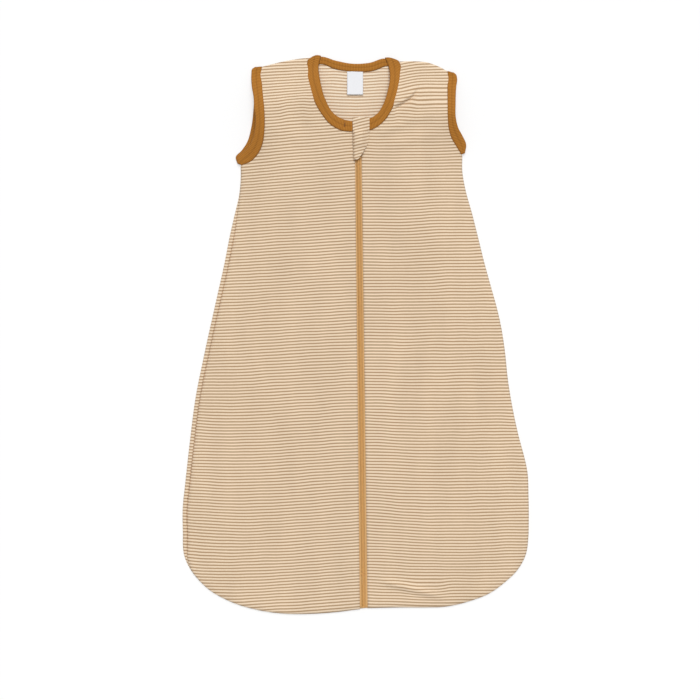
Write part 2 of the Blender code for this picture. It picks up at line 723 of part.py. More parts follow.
def build_label():
    """Neck label, held at its top edge just under the back-neck binding."""
    middle = (BACK_NECK_LINE[2][0], TOP - BACK_NECK_LINE[2][1])
    top = middle[1] - BACK_NECK_WIDTH / 2 - 2 * CLEAR
    left = LABEL_X - LABEL_WIDTH / 2
    right = LABEL_X + LABEL_WIDTH / 2
    outline = [(left, top), (right, top), (right, top - LABEL_LENGTH), (left, top - LABEL_LENGTH)]
    label = plate("neck_label", [outline], FABRIC + CLEAR, LABEL_THICKNESS, LABEL, Matrix.Identity(4))
    height = FABRIC + CLEAR + LABEL_THICKNESS + LABEL_HINGE_RADIUS
    return label, Matrix.Translation((LABEL_X, top - LABEL_HINGE_RADIUS, height))


def fold_axis_frame(side):
    """Frame on the fold line of a front edge, a little above the cloth."""
    place = Matrix.Translation((SIGN[side] * FOLD_FOOT_X, FOLD_FOOT_Y, FOLD_AXIS_HEIGHT))
    return FRAME @ place @ Matrix.Rotation(-SIGN[side] * math.atan(fold_lean(side)), 4, "Z")


PIECES, CUTTERS = start_scene()
JERSEY = finish_material("striped_jersey", (0.77, 0.58, 0.38), 0.9)
RIB = finish_material("mustard_rib", (0.48, 0.21, 0.03), 0.85)
THREAD = finish_material("overlock_thread", (0.80, 0.66, 0.48), 0.8)
TAPE = finish_material("zip_tape_weave", (0.55, 0.31, 0.09), 0.8)
COIL = finish_material("zip_coil_nylon", (0.58, 0.25, 0.05), 0.4)
ENAMEL = finish_material("slider_enamel", (0.50, 0.24, 0.04), 0.35)
LABEL = finish_material("white_label_tape", (0.88, 0.87, 0.85), 0.7)

SEWN_EDGES = [edge(side) for edge in (side_edge, shoulder_edge) for side in SIGN]
FRAME = zip_frame()

build_back()
build_bottom_stop()
slider_pieces, pull_frame, bridge_top = build_slider()
pull_tab = build_pull(pull_frame)
chin_guard, guard_frame = build_guard(bridge_top)
neck_label, label_frame = build_label()
for half_side in ("left", "right"):
    half_prism = prism(f"half_{half_side}", half_outline(half_side), Matrix.Identity(4))
    fold_prism = prism(f"fold_{half_side}", fold_outline(half_side, 0.0), FRAME)
    wide_prism = prism(f"fold_wide_{half_side}", fold_outline(half_side, CLEAR), FRAME)
    turning = [build_front(half_side, half_prism, fold_prism, wide_prism)]
    turning.append(build_neck_band(half_side, fold_prism, wide_prism))
    turning += build_zip(half_side)
    build_arm_band(half_side)
    fold_axis = joint_axis(f"front_fold_{half_side}_axis", fold_axis_frame(half_side))
    carry(fold_axis, turning)
slider_axis = joint_axis("zip_slide_axis", pull_frame)
carry(slider_axis, slider_pieces)
pull_axis = joint_axis("pull_flip_axis", pull_frame)
carry(pull_axis, [pull_tab])
guard_axis = joint_axis("chin_guard_flip_axis", guard_frame)
carry(guard_axis, [chin_guard])
label_axis = joint_axis("label_flip_axis", label_frame)
carry(label_axis, [neck_label])
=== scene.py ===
import math

import bmesh
import bpy
import numpy as np
from mathutils import Matrix, Vector


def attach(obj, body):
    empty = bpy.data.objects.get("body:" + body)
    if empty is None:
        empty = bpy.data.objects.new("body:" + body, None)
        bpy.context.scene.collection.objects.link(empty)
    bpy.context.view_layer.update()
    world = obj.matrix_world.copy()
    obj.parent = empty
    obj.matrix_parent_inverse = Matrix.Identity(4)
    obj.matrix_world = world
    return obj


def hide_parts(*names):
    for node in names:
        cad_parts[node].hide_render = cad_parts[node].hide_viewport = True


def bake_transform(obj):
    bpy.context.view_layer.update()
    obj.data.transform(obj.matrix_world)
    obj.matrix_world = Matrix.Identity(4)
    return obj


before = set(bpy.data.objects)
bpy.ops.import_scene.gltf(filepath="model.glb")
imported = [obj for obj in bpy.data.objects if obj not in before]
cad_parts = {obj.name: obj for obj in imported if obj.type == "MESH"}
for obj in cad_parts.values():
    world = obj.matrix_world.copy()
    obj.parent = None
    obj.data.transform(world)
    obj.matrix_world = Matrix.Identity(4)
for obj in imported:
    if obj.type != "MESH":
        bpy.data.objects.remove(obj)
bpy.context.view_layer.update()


# Back panel: one piece of striped cotton jersey, cut with the shoulders and the back of the neck on its
# top edge. It lies flat under the front. On the left its edge rolls up and over, so that the side seam
# sits on the front, 4.5 mm in from the edge.
MM = 0.001
JERSEY_THICKNESS = 1.0 * MM
STRIPE_PERIOD = 3.82
STRIPE_DARK_SHARE = 0.44
STRIPE_SOFTNESS = 0.28
STRIPE_SHIFT = 1.3
BACK_HEIGHT = 0.75
BACK_AT_BINDING = 1.65
BACK_COLUMNS, BACK_ROWS = 84, 190
BINDING_EASE = 22.0
ROLL_WIDTH = 4.5
ROLL_HEIGHT = 2.35
ROLL_COLUMNS = 8
ROLL_TOP, ROLL_TOP_RUN = 188.0, 70.0
ROLL_FOOT, ROLL_FOOT_RUN = -301.0, 40.0
ROLL_LEAST = 0.06
ROLL_INSET = 1.3
# The stripes of the back come to a soft peak under the neck: its slope, its half width, and where it starts
PEAK_SLOPE, PEAK_HALF = 0.045, 30.0
PEAK_FROM, PEAK_RUN = 200.0, 80.0

# Plan lines in millimetres: the sewn edge from each armpit down the side and round the hem to the zip,
# the cloth's edge inside each armhole binding, the shoulders, and the neck
LEFT_EDGE = [(-143.8, 212.3), (-143.8, 195.1), (-146.1, 173.6), (-151.1, 152.1), (-156.1, 130.4), (-164.7, 87.4),
             (-175.9, 37.2), (-189.7, -25.3), (-200.9, -81.6), (-207.3, -131.6), (-213.7, -188.9),
             (-216.6, -217.7), (-216.4, -246.3), (-214.4, -278.0), (-207.3, -293.7), (-197.2, -306.7),
             (-182.9, -320.0), (-165.7, -330.3), (-147.1, -338.2), (-126.9, -343.9), (-90.6, -349.4),
             (-55.2, -349.6), (-25.7, -347.6), (3.8, -343.9)]
RIGHT_EDGE = [(133.3, 223.7), (133.3, 205.6), (137.1, 182.8), (145.4, 152.6), (153.1, 122.3), (160.6, 91.9),
              (168.9, 61.7), (177.3, 31.4), (182.6, 7.2), (186.6, -19.1), (190.6, -56.6), (199.4, -106.6),
              (204.9, -130.4), (210.6, -151.2), (215.0, -171.4), (216.4, -202.2), (216.7, -236.3),
              (216.2, -254.1), (213.2, -274.7), (204.3, -292.4), (186.7, -310.1), (165.9, -324.8),
              (145.2, -332.9), (124.4, -338.6), (107.1, -341.2), (92.3, -341.6), (50.9, -341.7), (12.6, -342.6)]
LEFT_CORNER = -320.0
RIGHT_CORNER = -310.1
LEFT_ARM_CLOTH = [(-143.8, 212.3), (-136.0, 218.5), (-129.5, 228.0), (-125.0, 240.0), (-122.5, 254.0),
                  (-121.0, 270.0), (-121.0, 290.0), (-123.3, 310.0), (-124.0, 326.0), (-122.5, 334.5)]
RIGHT_ARM_CLOTH = [(133.3, 223.7), (131.0, 233.0), (127.0, 243.5), (122.5, 255.0), (120.2, 270.0), (119.8, 290.0),
                   (120.4, 310.0), (121.0, 322.0), (119.5, 328.0)]
LEFT_SHOULDER = [(-122.5, 334.5), (-117.3, 335.8), (-87.4, 343.0), (-63.6, 346.5), (-55.0, 347.0)]
RIGHT_SHOULDER = [(50.0, 342.5), (55.2, 342.4), (70.2, 342.7), (90.1, 341.0), (105.1, 335.5), (115.1, 330.0),
                  (119.5, 328.0)]
BACK_NECK_CLOTH = [(-55.0, 347.0), (-43.4, 345.0), (-25.0, 338.5), (-4.1, 335.0), (22.7, 336.0), (37.0, 341.5),
                   (50.0, 342.5)]


def smooth_line(points):
    """Close points along a smooth curve through the given ones."""
    knots = np.array(points, float)
    gaps = np.linalg.norm(np.diff(knots, axis=0), axis=1)[:, None]
    slopes = np.diff(knots, axis=0) / gaps
    middle = (slopes[1:] * gaps[:-1] + slopes[:-1] * gaps[1:]) / (gaps[1:] + gaps[:-1])
    heading = np.vstack([slopes[:1], middle, slopes[-1:]])
    t = np.linspace(0.0, 1.0, 9)[:-1, None]
    line = []
    for place, gap in enumerate(gaps):
        line.append((2 * t**3 - 3 * t**2 + 1) * knots[place] + (3 * t**2 - 2 * t**3) * knots[place + 1]
                    + gap * ((t**3 - 2 * t**2 + t) * heading[place] + (t**3 - t**2) * heading[place + 1]))
    return np.vstack(line + [knots[-1:]])


def run_of(line):
    """Distance along a line at each of its points."""
    return np.concatenate([[0.0], np.cumsum(np.linalg.norm(np.diff(line, axis=0), axis=1))])


def along(line, shares):
    """Points at shares of a line's length."""
    run = run_of(line)
    return np.stack([np.interp(shares * run[-1], run, line[:, axis]) for axis in (0, 1)], axis=-1)


def by_height(line, shares):
    """Points at shares of the way up a line that only rises."""
    y = line[0, 1] + shares * (line[-1, 1] - line[0, 1])
    return np.stack([np.interp(y, line[:, 1], line[:, 0]), y], axis=-1)


def laid_cloth(u, v, start_side, end_side, low, top):
    """Plan places of a cloth between two rising side edges, a low edge and a top edge."""
    u, v = u[:, None], v[:, None]
    place = (1 - u) * by_height(start_side, v[:, 0]) + u * by_height(end_side, v[:, 0])
    low_sag = along(low, u[:, 0]) - (1 - u) * low[0] - u * low[-1]
    top_sag = along(top, u[:, 0]) - (1 - u) * top[0] - u * top[-1]
    return place + low_sag * (1 - v)**3 + top_sag * v**3


def ease(share):
    """Smooth step from 0 to 1."""
    share = np.clip(share, 0.0, 1.0)
    return share * share * (3 - 2 * share)


def distance_to(line, x, y):
    """Plan distance from points to a line."""
    nearest = np.full(np.shape(x), np.inf)
    for start, end in zip(line, line[1:]):
        run = end - start
        share = np.clip(((x - start[0]) * run[0] + (y - start[1]) * run[1]) / (run @ run), 0.0, 1.0)
        nearest = np.minimum(nearest, np.hypot(x - start[0] - share * run[0], y - start[1] - share * run[1]))
    return nearest


def split_at(line, height):
    """A sewn edge in two: its side, rising, and its hem, from the corner to the zip."""
    corner = int(np.argmin(np.abs(line[:, 1] - height)))
    return line[:corner + 1][::-1], line[corner:]


def rolled(y):
    """Share of the full roll that the left edge has at a height on the bag."""
    return ease((ROLL_TOP - y) / ROLL_TOP_RUN) * ease((y - ROLL_FOOT) / ROLL_FOOT_RUN)


def grid_mesh(columns, rows):
    """A flat bmesh grid, with the share across and the share up of each of its vertices."""
    work = bmesh.new()
    bmesh.ops.create_grid(work, x_segments=columns, y_segments=rows, size=0.5)
    shares = np.array([vertex.co for vertex in work.verts]) + 0.5
    return work, shares[:, 0], shares[:, 1]


def cloth_piece(name, work, places, lay, thickness, upper, lower=None):
    """Piece from a grid: its vertices moved to places in mm, its lay on the flat cloth as UV, then thickened."""
    work.verts.index_update()
    uv = work.loops.layers.uv.new("lay")
    for vertex, place in zip(work.verts, places):
        vertex.co = Vector(place) * MM
    for face in work.faces:
        for corner in face.loops:
            corner[uv].uv = lay[corner.vert.index]
        face.smooth = True
    bmesh.ops.recalc_face_normals(work, faces=work.faces)
    if sum(face.normal.z for face in work.faces) < 0:
        bmesh.ops.reverse_faces(work, faces=work.faces)
    mesh = bpy.data.meshes.new(name)
    work.to_mesh(mesh)
    work.free()
    piece = bpy.data.objects.new(name, mesh)
    bpy.context.scene.collection.objects.link(piece)
    wall = piece.modifiers.new("thickness", "SOLIDIFY")
    wall.thickness = thickness
    wall.offset = 0.0
    mesh.materials.append(upper)
    if lower:
        mesh.materials.append(lower)
        wall.material_offset = 1
    bpy.context.view_layer.update()
    finished = bpy.data.meshes.new_from_object(piece.evaluated_get(bpy.context.evaluated_depsgraph_get()))
    piece.modifiers.clear()
    piece.data = finished
    finished.name = name
    return piece


def shade(code):
    """Linear colour of an sRGB hex value."""
    values = [int(code[place:place + 2], 16) / 255 for place in (0, 2, 4)]
    return (*[c / 12.92 if c <= 0.04045 else ((c + 0.055) / 1.055)**2.4 for c in values], 1.0)


def add_node(tree, kind, inputs=None, **settings):
    """A node with its settings, and its inputs linked or set."""
    made = tree.nodes.new(kind)
    for name, value in settings.items():
        setattr(made, name, value)
    for name, value in (inputs or {}).items():
        if isinstance(value, bpy.types.NodeSocket):
            tree.links.new(value, made.inputs[name])
        else:
            made.inputs[name].default_value = value
    return made


def bands(tree, lay, width, direction, waver):
    """Waves of a width in millimetres, as a share from 0 to 1."""
    made = add_node(tree, "ShaderNodeTexWave", {"Vector": lay, "Scale": 0.314 / width, **waver},
                    bands_direction=direction)
    return made.outputs["Fac"]


def colour_between(tree, share, first, second):
    """Colour between two others, by a share."""
    mixed = add_node(tree, "ShaderNodeMix", {0: share, 6: first, 7: second}, data_type="RGBA")
    return mixed.outputs[2]


def new_material(name):
    """A material with nodes, and its node tree."""
    made = bpy.data.materials.new(name)
    made.use_nodes = True
    return made, made.node_tree


def dress_shader(tree, colour, relief, values):
    """A material's shader with its colour, its relief if any, and its plain values."""
    shader = tree.nodes["Principled BSDF"]
    tree.links.new(colour, shader.inputs["Base Color"])
    if relief:
        tree.links.new(relief.outputs[0], shader.inputs["Normal"])
    for name, value in values.items():
        shader.inputs[name].default_value = value


# Cotton jersey, yarn dyed in narrow stripes. The eye sees soft-edged tan and cream lines, a fine grain of
# knitted loops and a matt, slightly furry surface. The inside of the knit is paler, with coarser loops, and its
# shades are lifted further as painted light, to make up for the shade inside the neck. The real loops are
# about 0.7 mm; they are drawn at twice that, so that some of their grain shows
def striped_jersey(name, tan_yarn, cream_yarn, loop_width):
    """One face of the jersey, from the darker and the lighter shade of each yarn."""
    made, tree = new_material(name)
    lay = add_node(tree, "ShaderNodeUVMap", uv_map="lay").outputs["UV"]
    across_up = add_node(tree, "ShaderNodeSeparateXYZ", {"Vector": lay})
    drift = add_node(tree, "ShaderNodeTexNoise", {"Vector": lay, "Scale": 0.024, "Detail": 1.0})
    course = add_node(tree, "ShaderNodeMath", {0: drift.outputs["Fac"], 1: 2.2, 2: across_up.outputs["Y"]},
                      operation="MULTIPLY_ADD")
    wave = add_node(tree, "ShaderNodeMath", {0: course.outputs[0], 1: STRIPE_PERIOD / 2}, operation="PINGPONG")
    edge = STRIPE_PERIOD / 2 * STRIPE_DARK_SHARE
    line = add_node(tree, "ShaderNodeMapRange", {"Value": wave.outputs[0], "From Min": edge - STRIPE_SOFTNESS,
                                                 "From Max": edge + STRIPE_SOFTNESS}, interpolation_type="SMOOTHSTEP")
    fuzz = add_node(tree, "ShaderNodeTexNoise", {"Vector": lay, "Scale": 0.55, "Detail": 4.0, "Roughness": 0.6})
    # Soft patches of tone stretched up and down the cloth: partly the cloth's own uneven tone, partly painted shade of
    # soft folds
    fold_streak_stretch = add_node(tree, "ShaderNodeMapping", {"Vector": lay, "Scale": (1.0, 0.25, 1.0)})
    tone_and_fold_shade_noise = add_node(tree, "ShaderNodeTexNoise", {"Vector": fold_streak_stretch.outputs[0], "Scale": 0.03, "Detail": 2.0})
    tan = colour_between(tree, fuzz.outputs["Fac"], *map(shade, tan_yarn))
    cream = colour_between(tree, fuzz.outputs["Fac"], *map(shade, cream_yarn))
    stripe = colour_between(tree, line.outputs[0], tan, cream)
    tone_and_fold_shade = add_node(tree, "ShaderNodeMapRange", {"Value": tone_and_fold_shade_noise.outputs["Fac"], "From Min": 0.25, "From Max": 0.75,
                                                 "To Min": 0.955, "To Max": 1.04})
    tone = add_node(tree, "ShaderNodeVectorMath", {0: stripe, "Scale": tone_and_fold_shade.outputs[0]}, operation="SCALE")
    wales = bands(tree, lay, loop_width, "X", {"Distortion": 1.2, "Detail": 1.0, "Detail Scale": 0.6})
    courses = bands(tree, lay, STRIPE_PERIOD / 3, "Y", {"Distortion": 1.0, "Detail": 1.0, "Detail Scale": 0.6})
    loops = add_node(tree, "ShaderNodeMath", {0: wales, 1: courses}, operation="ADD")
    grain = add_node(tree, "ShaderNodeMath", {0: fuzz.outputs["Fac"], 1: 0.8, 2: loops.outputs[0]},
                     operation="MULTIPLY_ADD")
    relief = add_node(tree, "ShaderNodeBump", {"Height": grain.outputs[0], "Strength": 0.35, "Distance": 0.0004})
    dress_shader(tree, tone.outputs[0], relief, {"Roughness": 0.93, "Specular IOR Level": 0.25, "Sheen Weight": 0.08,
                                                 "Sheen Roughness": 0.5})
    return made


jersey = striped_jersey("striped_cotton_jersey", ("A88967", "C09F7C"), ("EAD2B4", "F8E3C8"), 1.4)
# The inside's shades: partly the paler inside of the knit, partly painted light lifting the shade inside the neck
jersey_inside_with_painted_light = striped_jersey("striped_cotton_jersey_inside_painted_light", ("BB9B7A", "D3B28F"), ("F8E0C3", "FFF1DA"), 1.9)

left_side, left_hem = split_at(smooth_line(LEFT_EDGE), LEFT_CORNER)
right_side, right_hem = split_at(smooth_line(RIGHT_EDGE), RIGHT_CORNER)
left_arm_cloth = smooth_line(LEFT_ARM_CLOTH)
right_arm_cloth = smooth_line(RIGHT_ARM_CLOTH)
arm_cloth = {"left": left_arm_cloth, "right": right_arm_cloth}
left_shoulder = smooth_line(LEFT_SHOULDER)
right_shoulder = smooth_line(RIGHT_SHOULDER)
back_neck_cloth = smooth_line(BACK_NECK_CLOTH)
hem = np.vstack([left_hem, right_hem[::-1]])

back_work, u, v = grid_mesh(ROLL_COLUMNS + BACK_COLUMNS, BACK_ROWS)
column = np.rint(u * (ROLL_COLUMNS + BACK_COLUMNS))
flat_u = np.clip((column - ROLL_COLUMNS) / BACK_COLUMNS, 0.0, 1.0)
inset = left_side + np.stack([ROLL_INSET * rolled(left_side[:, 1]), np.zeros(len(left_side))], axis=-1)
plan = laid_cloth(flat_u, v, np.vstack([inset, left_arm_cloth]), np.vstack([right_side, right_arm_cloth]), hem,
                  np.vstack([left_shoulder, back_neck_cloth, right_shoulder]))
at_binding = np.minimum.reduce([distance_to(path, plan[:, 0], plan[:, 1])
                                for path in (back_neck_cloth, left_arm_cloth, right_arm_cloth)])
height = BACK_HEIGHT + (BACK_AT_BINDING - BACK_HEIGHT) * (1 - ease(at_binding / BINDING_EASE))
roll_in = np.array([3.5, 3.0, 2.2, 1.2, 0.1, -0.9, -1.3, -0.8, 0.0])
roll_up = np.array([0.10, 0.75, 1.0, 0.96, 0.80, 0.58, 0.32, 0.08, 0.0]) * ROLL_HEIGHT
roll_out = np.array([9.6, 8.3, 7.1, 6.0, 4.8, 3.7, 2.5, 1.2, 0.0])
wrap = np.minimum(column, ROLL_COLUMNS).astype(int)
share = np.where(column < ROLL_COLUMNS, np.maximum(rolled(plan[:, 1]), ROLL_LEAST), 0.0)
plan[:, 0] += roll_in[wrap] * share
height += roll_up[wrap] * share
back_lay = np.stack([plan[:, 0] - (roll_in + roll_out)[wrap] * share, plan[:, 1] + STRIPE_SHIFT], axis=-1)
peak = np.maximum(PEAK_HALF - np.abs(back_lay[:, 0]), 0.0)
back_lay[:, 1] += PEAK_SLOPE * peak * ease((plan[:, 1] - PEAK_FROM) / PEAK_RUN)
back_panel = cloth_piece("back_panel_cloth", back_work, np.column_stack([plan, height]), back_lay, JERSEY_THICKNESS,
                         jersey_inside_with_painted_light, lower=jersey)
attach(back_panel, "bag")
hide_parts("back_panel")


# Front panels: two halves of the same jersey, sewn to the back at the sides, hem and shoulders and to a
# zip tape at the middle. Each is one sheet.
FRONT_EDGE_HEIGHT = 2.05
FRONT_HEIGHT = 4.35
FRONT_RISE = 0.0207
EDGE_ROUND = 9.0
FRONT_EASE = 60.0
FRONT_COLUMNS, FRONT_ROWS = 64, 280
FOLD_EASE = 11.0
ZIP_EDGE_DIP, ZIP_EDGE_WIDTH = 0.3, 6.0
GROOVE_DIP, GROOVE_WIDTH = 1.1, 3.5
ZIP_FOOT = (10.1, -343.2)
ZIP_LEAN = math.radians(0.704)
ZIP_GAP = (4.9, 4.1)
ZIP_EDGE_TOP = 256.0
HEM_AT_ZIP = {"left": -343.9, "right": -342.6}
NECK_CLOTH = {
    "left": [(-5.3, 258.6), (-15.6, 261.0), (-23.2, 264.6), (-34.7, 274.7), (-47.5, 297.6), (-52.9, 322.5),
             (-54.4, 335.0), (-55.0, 347.0)],
    "right": [(11.0, 258.6), (15.2, 260.4), (22.7, 263.5), (31.4, 270.9), (39.9, 284.2), (46.6, 304.4),
              (49.5, 322.5), (49.6, 331.0), (50.0, 342.5)],
}
# Slope of the stripes in degrees, downwards to the right, at heights (rows) and places across (columns)
STRIPE_SLOPE = {
    "left": ([-207, -165, -122, -80, -37, -4],
             [(-319, [4.0, 0.2, -3.0, -3.1, -5.2, -3.6]), (-244, [4.0, 1.8, -2.1, -3.4, -5.5, -3.0]),
              (-119, [1.6, 0.8, -3.5, -3.3, -4.2, -2.2]), (6, [-1.0, -1.8, -4.0, -3.0, -2.8, -2.6]),
              (131, [-2.6, -2.6, -3.2, -3.5, -3.7, -2.9]), (206, [-3.0, -3.0, -3.5, -4.6, -4.8, -5.1]),
              (281, [-3.0, -3.0, -3.0, -3.5, -4.0, -4.5])]),
    "right": ([13, 48, 60, 74, 90, 133, 175, 205],
              [(-319, [0.5, 2.1, 1.8, 1.4, 0.9, 0.0, -0.6, -1.5]), (-244, [1.5, 4.6, 3.6, 2.5, 1.2, -0.8, -2.0, -0.1]),
               (-119, [1.0, 3.0, 2.0, 1.0, -0.4, -0.4, 0.2, 0.2]), (6, [0.3, 0.6, 0.0, -0.7, -1.4, -0.5, 0.0, 0.0]),
               (131, [1.2, -0.5, -1.2, -2.2, -3.2, -1.6, -1.4, -1.4]),
               (206, [0.4, 0.1, -1.0, -2.2, -3.3, -1.2, -0.8, -0.8]),
               (231, [0.5, 0.2, -0.4, -1.2, -2.0, -3.5, -1.0, -1.0]),
               (282, [0.4, 0.2, -1.0, -1.2, -1.5, -2.0, -1.5, -1.5]),
               (300, [0.3, -3.0, -8.0, -7.0, -2.0, -2.0, -2.0, -2.0]),
               (313, [0.2, -6.0, -12.0, -11.0, -2.0, -2.0, -2.0, -2.0]),
               (336, [0.2, -7.0, -11.0, -9.0, -2.5, -2.0, -2.0, -2.0])]),
}
# Soft folds as (start, end, half width, height), in millimetres
FOLDS = {
    "left": [((-92, 296), (-86, 258), 7.0, 0.9), ((-64, 300), (-60, 262), 6.0, 1.0),
             ((-108, 262), (-60, 240), 10.0, 1.2), ((-189, -190), (-195, -285), 8.0, 1.1),
             ((-172, -220), (-176, -300), 10.0, 0.8), ((-150, -40), (-60, -120), 24.0, 1.2),
             ((-120, 120), (-30, 60), 22.0, 1.2)],
    "right": [((28, 252), (60, 262), 6.0, 1.6), ((58, 268), (100, 274), 6.0, 1.3), ((40, 236), (100, 250), 8.0, 1.4),
              ((36, -309), (104, -327), 4.2, 3.0), ((60, -40), (150, 20), 24.0, 1.2),
              ((50, 150), (120, 110), 20.0, 1.2)],
}
# Places where the cloth has crept and takes the stripes up or down with it, as (middle, half widths, push)
RIPPLES = {"left": [((-76.0, 279.0), (15.0, 19.0), 1.9)], "right": [((88.0, -318.0), (26.0, 12.0), -3.0)]}
# A sharp crease that runs up from the right of the neck, where the cloth has folded over itself
CREASE = [(40.0, 282.4), (44.9, 284.3), (54.9, 288.7), (64.3, 294.4), (71.4, 300.2), (75.8, 306.6), (79.0, 312.0)]


def stripe_drift(side, x, y):
    """How far the stripes have drifted at a place, in millimetres, from the zip outwards."""
    columns, rows = STRIPE_SLOPE[side]
    columns = np.array(columns, float)
    heights = np.array([row[0] for row in rows], float)
    slopes = np.tan(np.radians([row[1] for row in rows]))
    zip_column = -1 if side == "left" else 0
    fine = np.linspace(columns[0] - 20, columns[-1] + 20, 120)
    by_row = []
    for row in range(len(rows)):
        slope = np.interp(fine, columns, slopes[row])
        total = np.concatenate([[0.0], np.cumsum((slope[1:] + slope[:-1]) / 2 * np.diff(fine))])
        by_row.append(np.interp(x, fine, total - np.interp(columns[zip_column], fine, total)))
    by_row = np.array(by_row)
    place = np.clip(np.interp(y, heights, np.arange(len(rows))), 0, len(rows) - 1.001)
    low = place.astype(int)
    share = ease(place - low)
    pick = np.arange(len(x))
    return by_row[low, pick] * (1 - share) + by_row[low + 1, pick] * share


def crease_at(x, y):
    """Height of the crease, a rounded lip over a narrow valley, and how much cloth is hidden in it."""
    below = 0.8 * (np.interp(x, *np.transpose(CREASE)) - y)
    reach = ease((x - 46.0) / 7.0) * ease((81.0 - x) / 14.0)
    lip = np.exp(-(below / np.where(below < 0, 6.0, 0.8))**2)
    valley = np.exp(-((below - 2.2) / np.where(below < 2.2, 0.9, 5.0))**2)
    hidden = 1.7 * ease((below + 0.4) / 2.0) * np.exp(-(np.maximum(below, 0.0) / 16.0)**2)
    return (2.5 * lip - 2.7 * valley) * reach, hidden * reach


def folds_at(side, x, y):
    """Height of the soft folds at a place."""
    total = crease_at(x, y)[0] if side == "right" else np.zeros(len(x))
    for (ax, ay), (bx, by), wide, high in FOLDS[side]:
        run = np.hypot(bx - ax, by - ay)
        tx, ty = (bx - ax) / run, (by - ay) / run
        share = ((x - ax) * tx + (y - ay) * ty) / run
        off = (x - ax) * -ty + (y - ay) * tx
        total += high * np.exp(-(off / wide)**2) * ease((share + 0.15) / 0.35) * ease((1.15 - share) / 0.35)
    return total


def ripples_at(side, x, y):
    """How far the cloth has crept up at a place."""
    crept = crease_at(x, y)[1] if side == "right" else np.zeros(len(x))
    for middle, (wide, high), push in RIPPLES[side]:
        crept += push * np.exp(-((x - middle[0]) / wide)**4 - ((y - middle[1]) / high)**2)
    return crept


def zip_at(y):
    """Plan place of the zip line at a height on the bag."""
    return ZIP_FOOT[0] - (y - ZIP_FOOT[1]) * math.tan(ZIP_LEAN)


front_sewn = {
    "left": [left_side + np.stack([ROLL_WIDTH * rolled(left_side[:, 1]), np.zeros(len(left_side))], axis=-1), left_hem,
             left_shoulder],
    "right": [right_side, right_hem, right_shoulder],
}


def front_height(x, y):
    """Height of the middle of the front cloth: it rises to the neck and comes down round the sewn edges."""
    rise = np.maximum(y - ZIP_FOOT[1], 0.0) * FRONT_RISE
    gap = np.minimum.reduce([distance_to(path[::2], x, y) for side in front_sewn.values() for path in side])
    near = np.clip(gap / EDGE_ROUND, 0.0, 1.0)
    return (FRONT_EDGE_HEIGHT + (FRONT_HEIGHT - FRONT_EDGE_HEIGHT) * np.sqrt(near * (2 - near))
            + rise * ease(gap / FRONT_EASE), gap)


front_panels = {}
for side, sign in (("left", -1), ("right", 1)):
    low_gap, high_gap = ZIP_GAP
    foot = HEM_AT_ZIP[side]
    zip_edge = np.array([(zip_at(foot) + sign * low_gap, foot),
                         (zip_at(ZIP_EDGE_TOP) + sign * high_gap, ZIP_EDGE_TOP)])
    inner = np.vstack([zip_edge, smooth_line(NECK_CLOTH[side])])
    outer = np.vstack([front_sewn[side][0], arm_cloth[side]])
    low = front_sewn[side][1][::-1].copy()
    low[0] = inner[0]
    top = left_shoulder[::-1] if side == "left" else right_shoulder
    work, u, v = grid_mesh(FRONT_COLUMNS, FRONT_ROWS)
    v = np.interp(v, (0.0, 0.14, 0.58, 1.0), (0.0, 0.08, 0.77, 1.0))
    plan = laid_cloth(u, v, inner, outer, low, top)
    x, y = plan.T
    height, gap = front_height(x, y)
    height += folds_at(side, x, y) * ease(gap / FOLD_EASE)
    height -= ZIP_EDGE_DIP * (1 - ease((np.abs(x - zip_at(y)) - high_gap) / ZIP_EDGE_WIDTH))
    if side == "left":
        height -= GROOVE_DIP * rolled(y) * (1 - ease(distance_to(front_sewn[side][0], x, y) / GROOVE_WIDTH))
    lay_up = y + stripe_drift(side, x, y) - ripples_at(side, x, y)
    front_panels[side] = cloth_piece(f"front_panel_{side}_cloth", work, np.column_stack([plan, height]),
                                     np.column_stack([x, lay_up]), JERSEY_THICKNESS, jersey, lower=jersey_inside_with_painted_light)
    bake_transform(front_panels[side])
    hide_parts(f"front_panel_{side}", f"front_edge_{side}")


# Seam allowances: the cut edges of front and back, overlocked together with cream thread and left inside.
# They are narrow soft strips that lie flat between the two cloths, 1 to 6 mm in from the sewn edge.
SEAM_NEAR, SEAM_FAR = 1.0, 6.0
SIDE_SEAM_HEIGHT, SHOULDER_SEAM_HEIGHT = 1.55, 1.95
OVERLOCK_THICKNESS = 0.4 * MM
overlock, tree = new_material("overlock_thread")
lay = add_node(tree, "ShaderNodeUVMap", uv_map="lay").outputs["UV"]
loops = bands(tree, lay, 2.6, "DIAGONAL", {"Distortion": 3.0, "Detail": 1.0, "Detail Scale": 0.4})
relief = add_node(tree, "ShaderNodeBump", {"Height": loops, "Strength": 0.6, "Distance": 0.0005})
dress_shader(tree, colour_between(tree, loops, shade("B59A78"), shade("F2DFC4")), relief, {"Roughness": 0.8})


def sideways(line, distance):
    """A line moved to its left by a distance."""
    run = np.gradient(line, axis=0)
    run /= np.linalg.norm(run, axis=1)[:, None]
    return line + distance * np.stack([-run[:, 1], run[:, 0]], axis=-1)


def tape_along(name, first, second, heights, steps, thickness, material):
    """Flat strip between two lines, at a height in millimetres at each share of its length."""
    work, u, v = grid_mesh(4, steps)
    plan = (1 - u)[:, None] * along(first, v) + u[:, None] * along(second, v)
    wide = np.linalg.norm(first[0] - second[0])
    lay = np.stack([u * wide, v * run_of(first)[-1]], axis=-1)
    return cloth_piece(name, work, np.column_stack([plan, heights(v)]), lay, thickness, material)


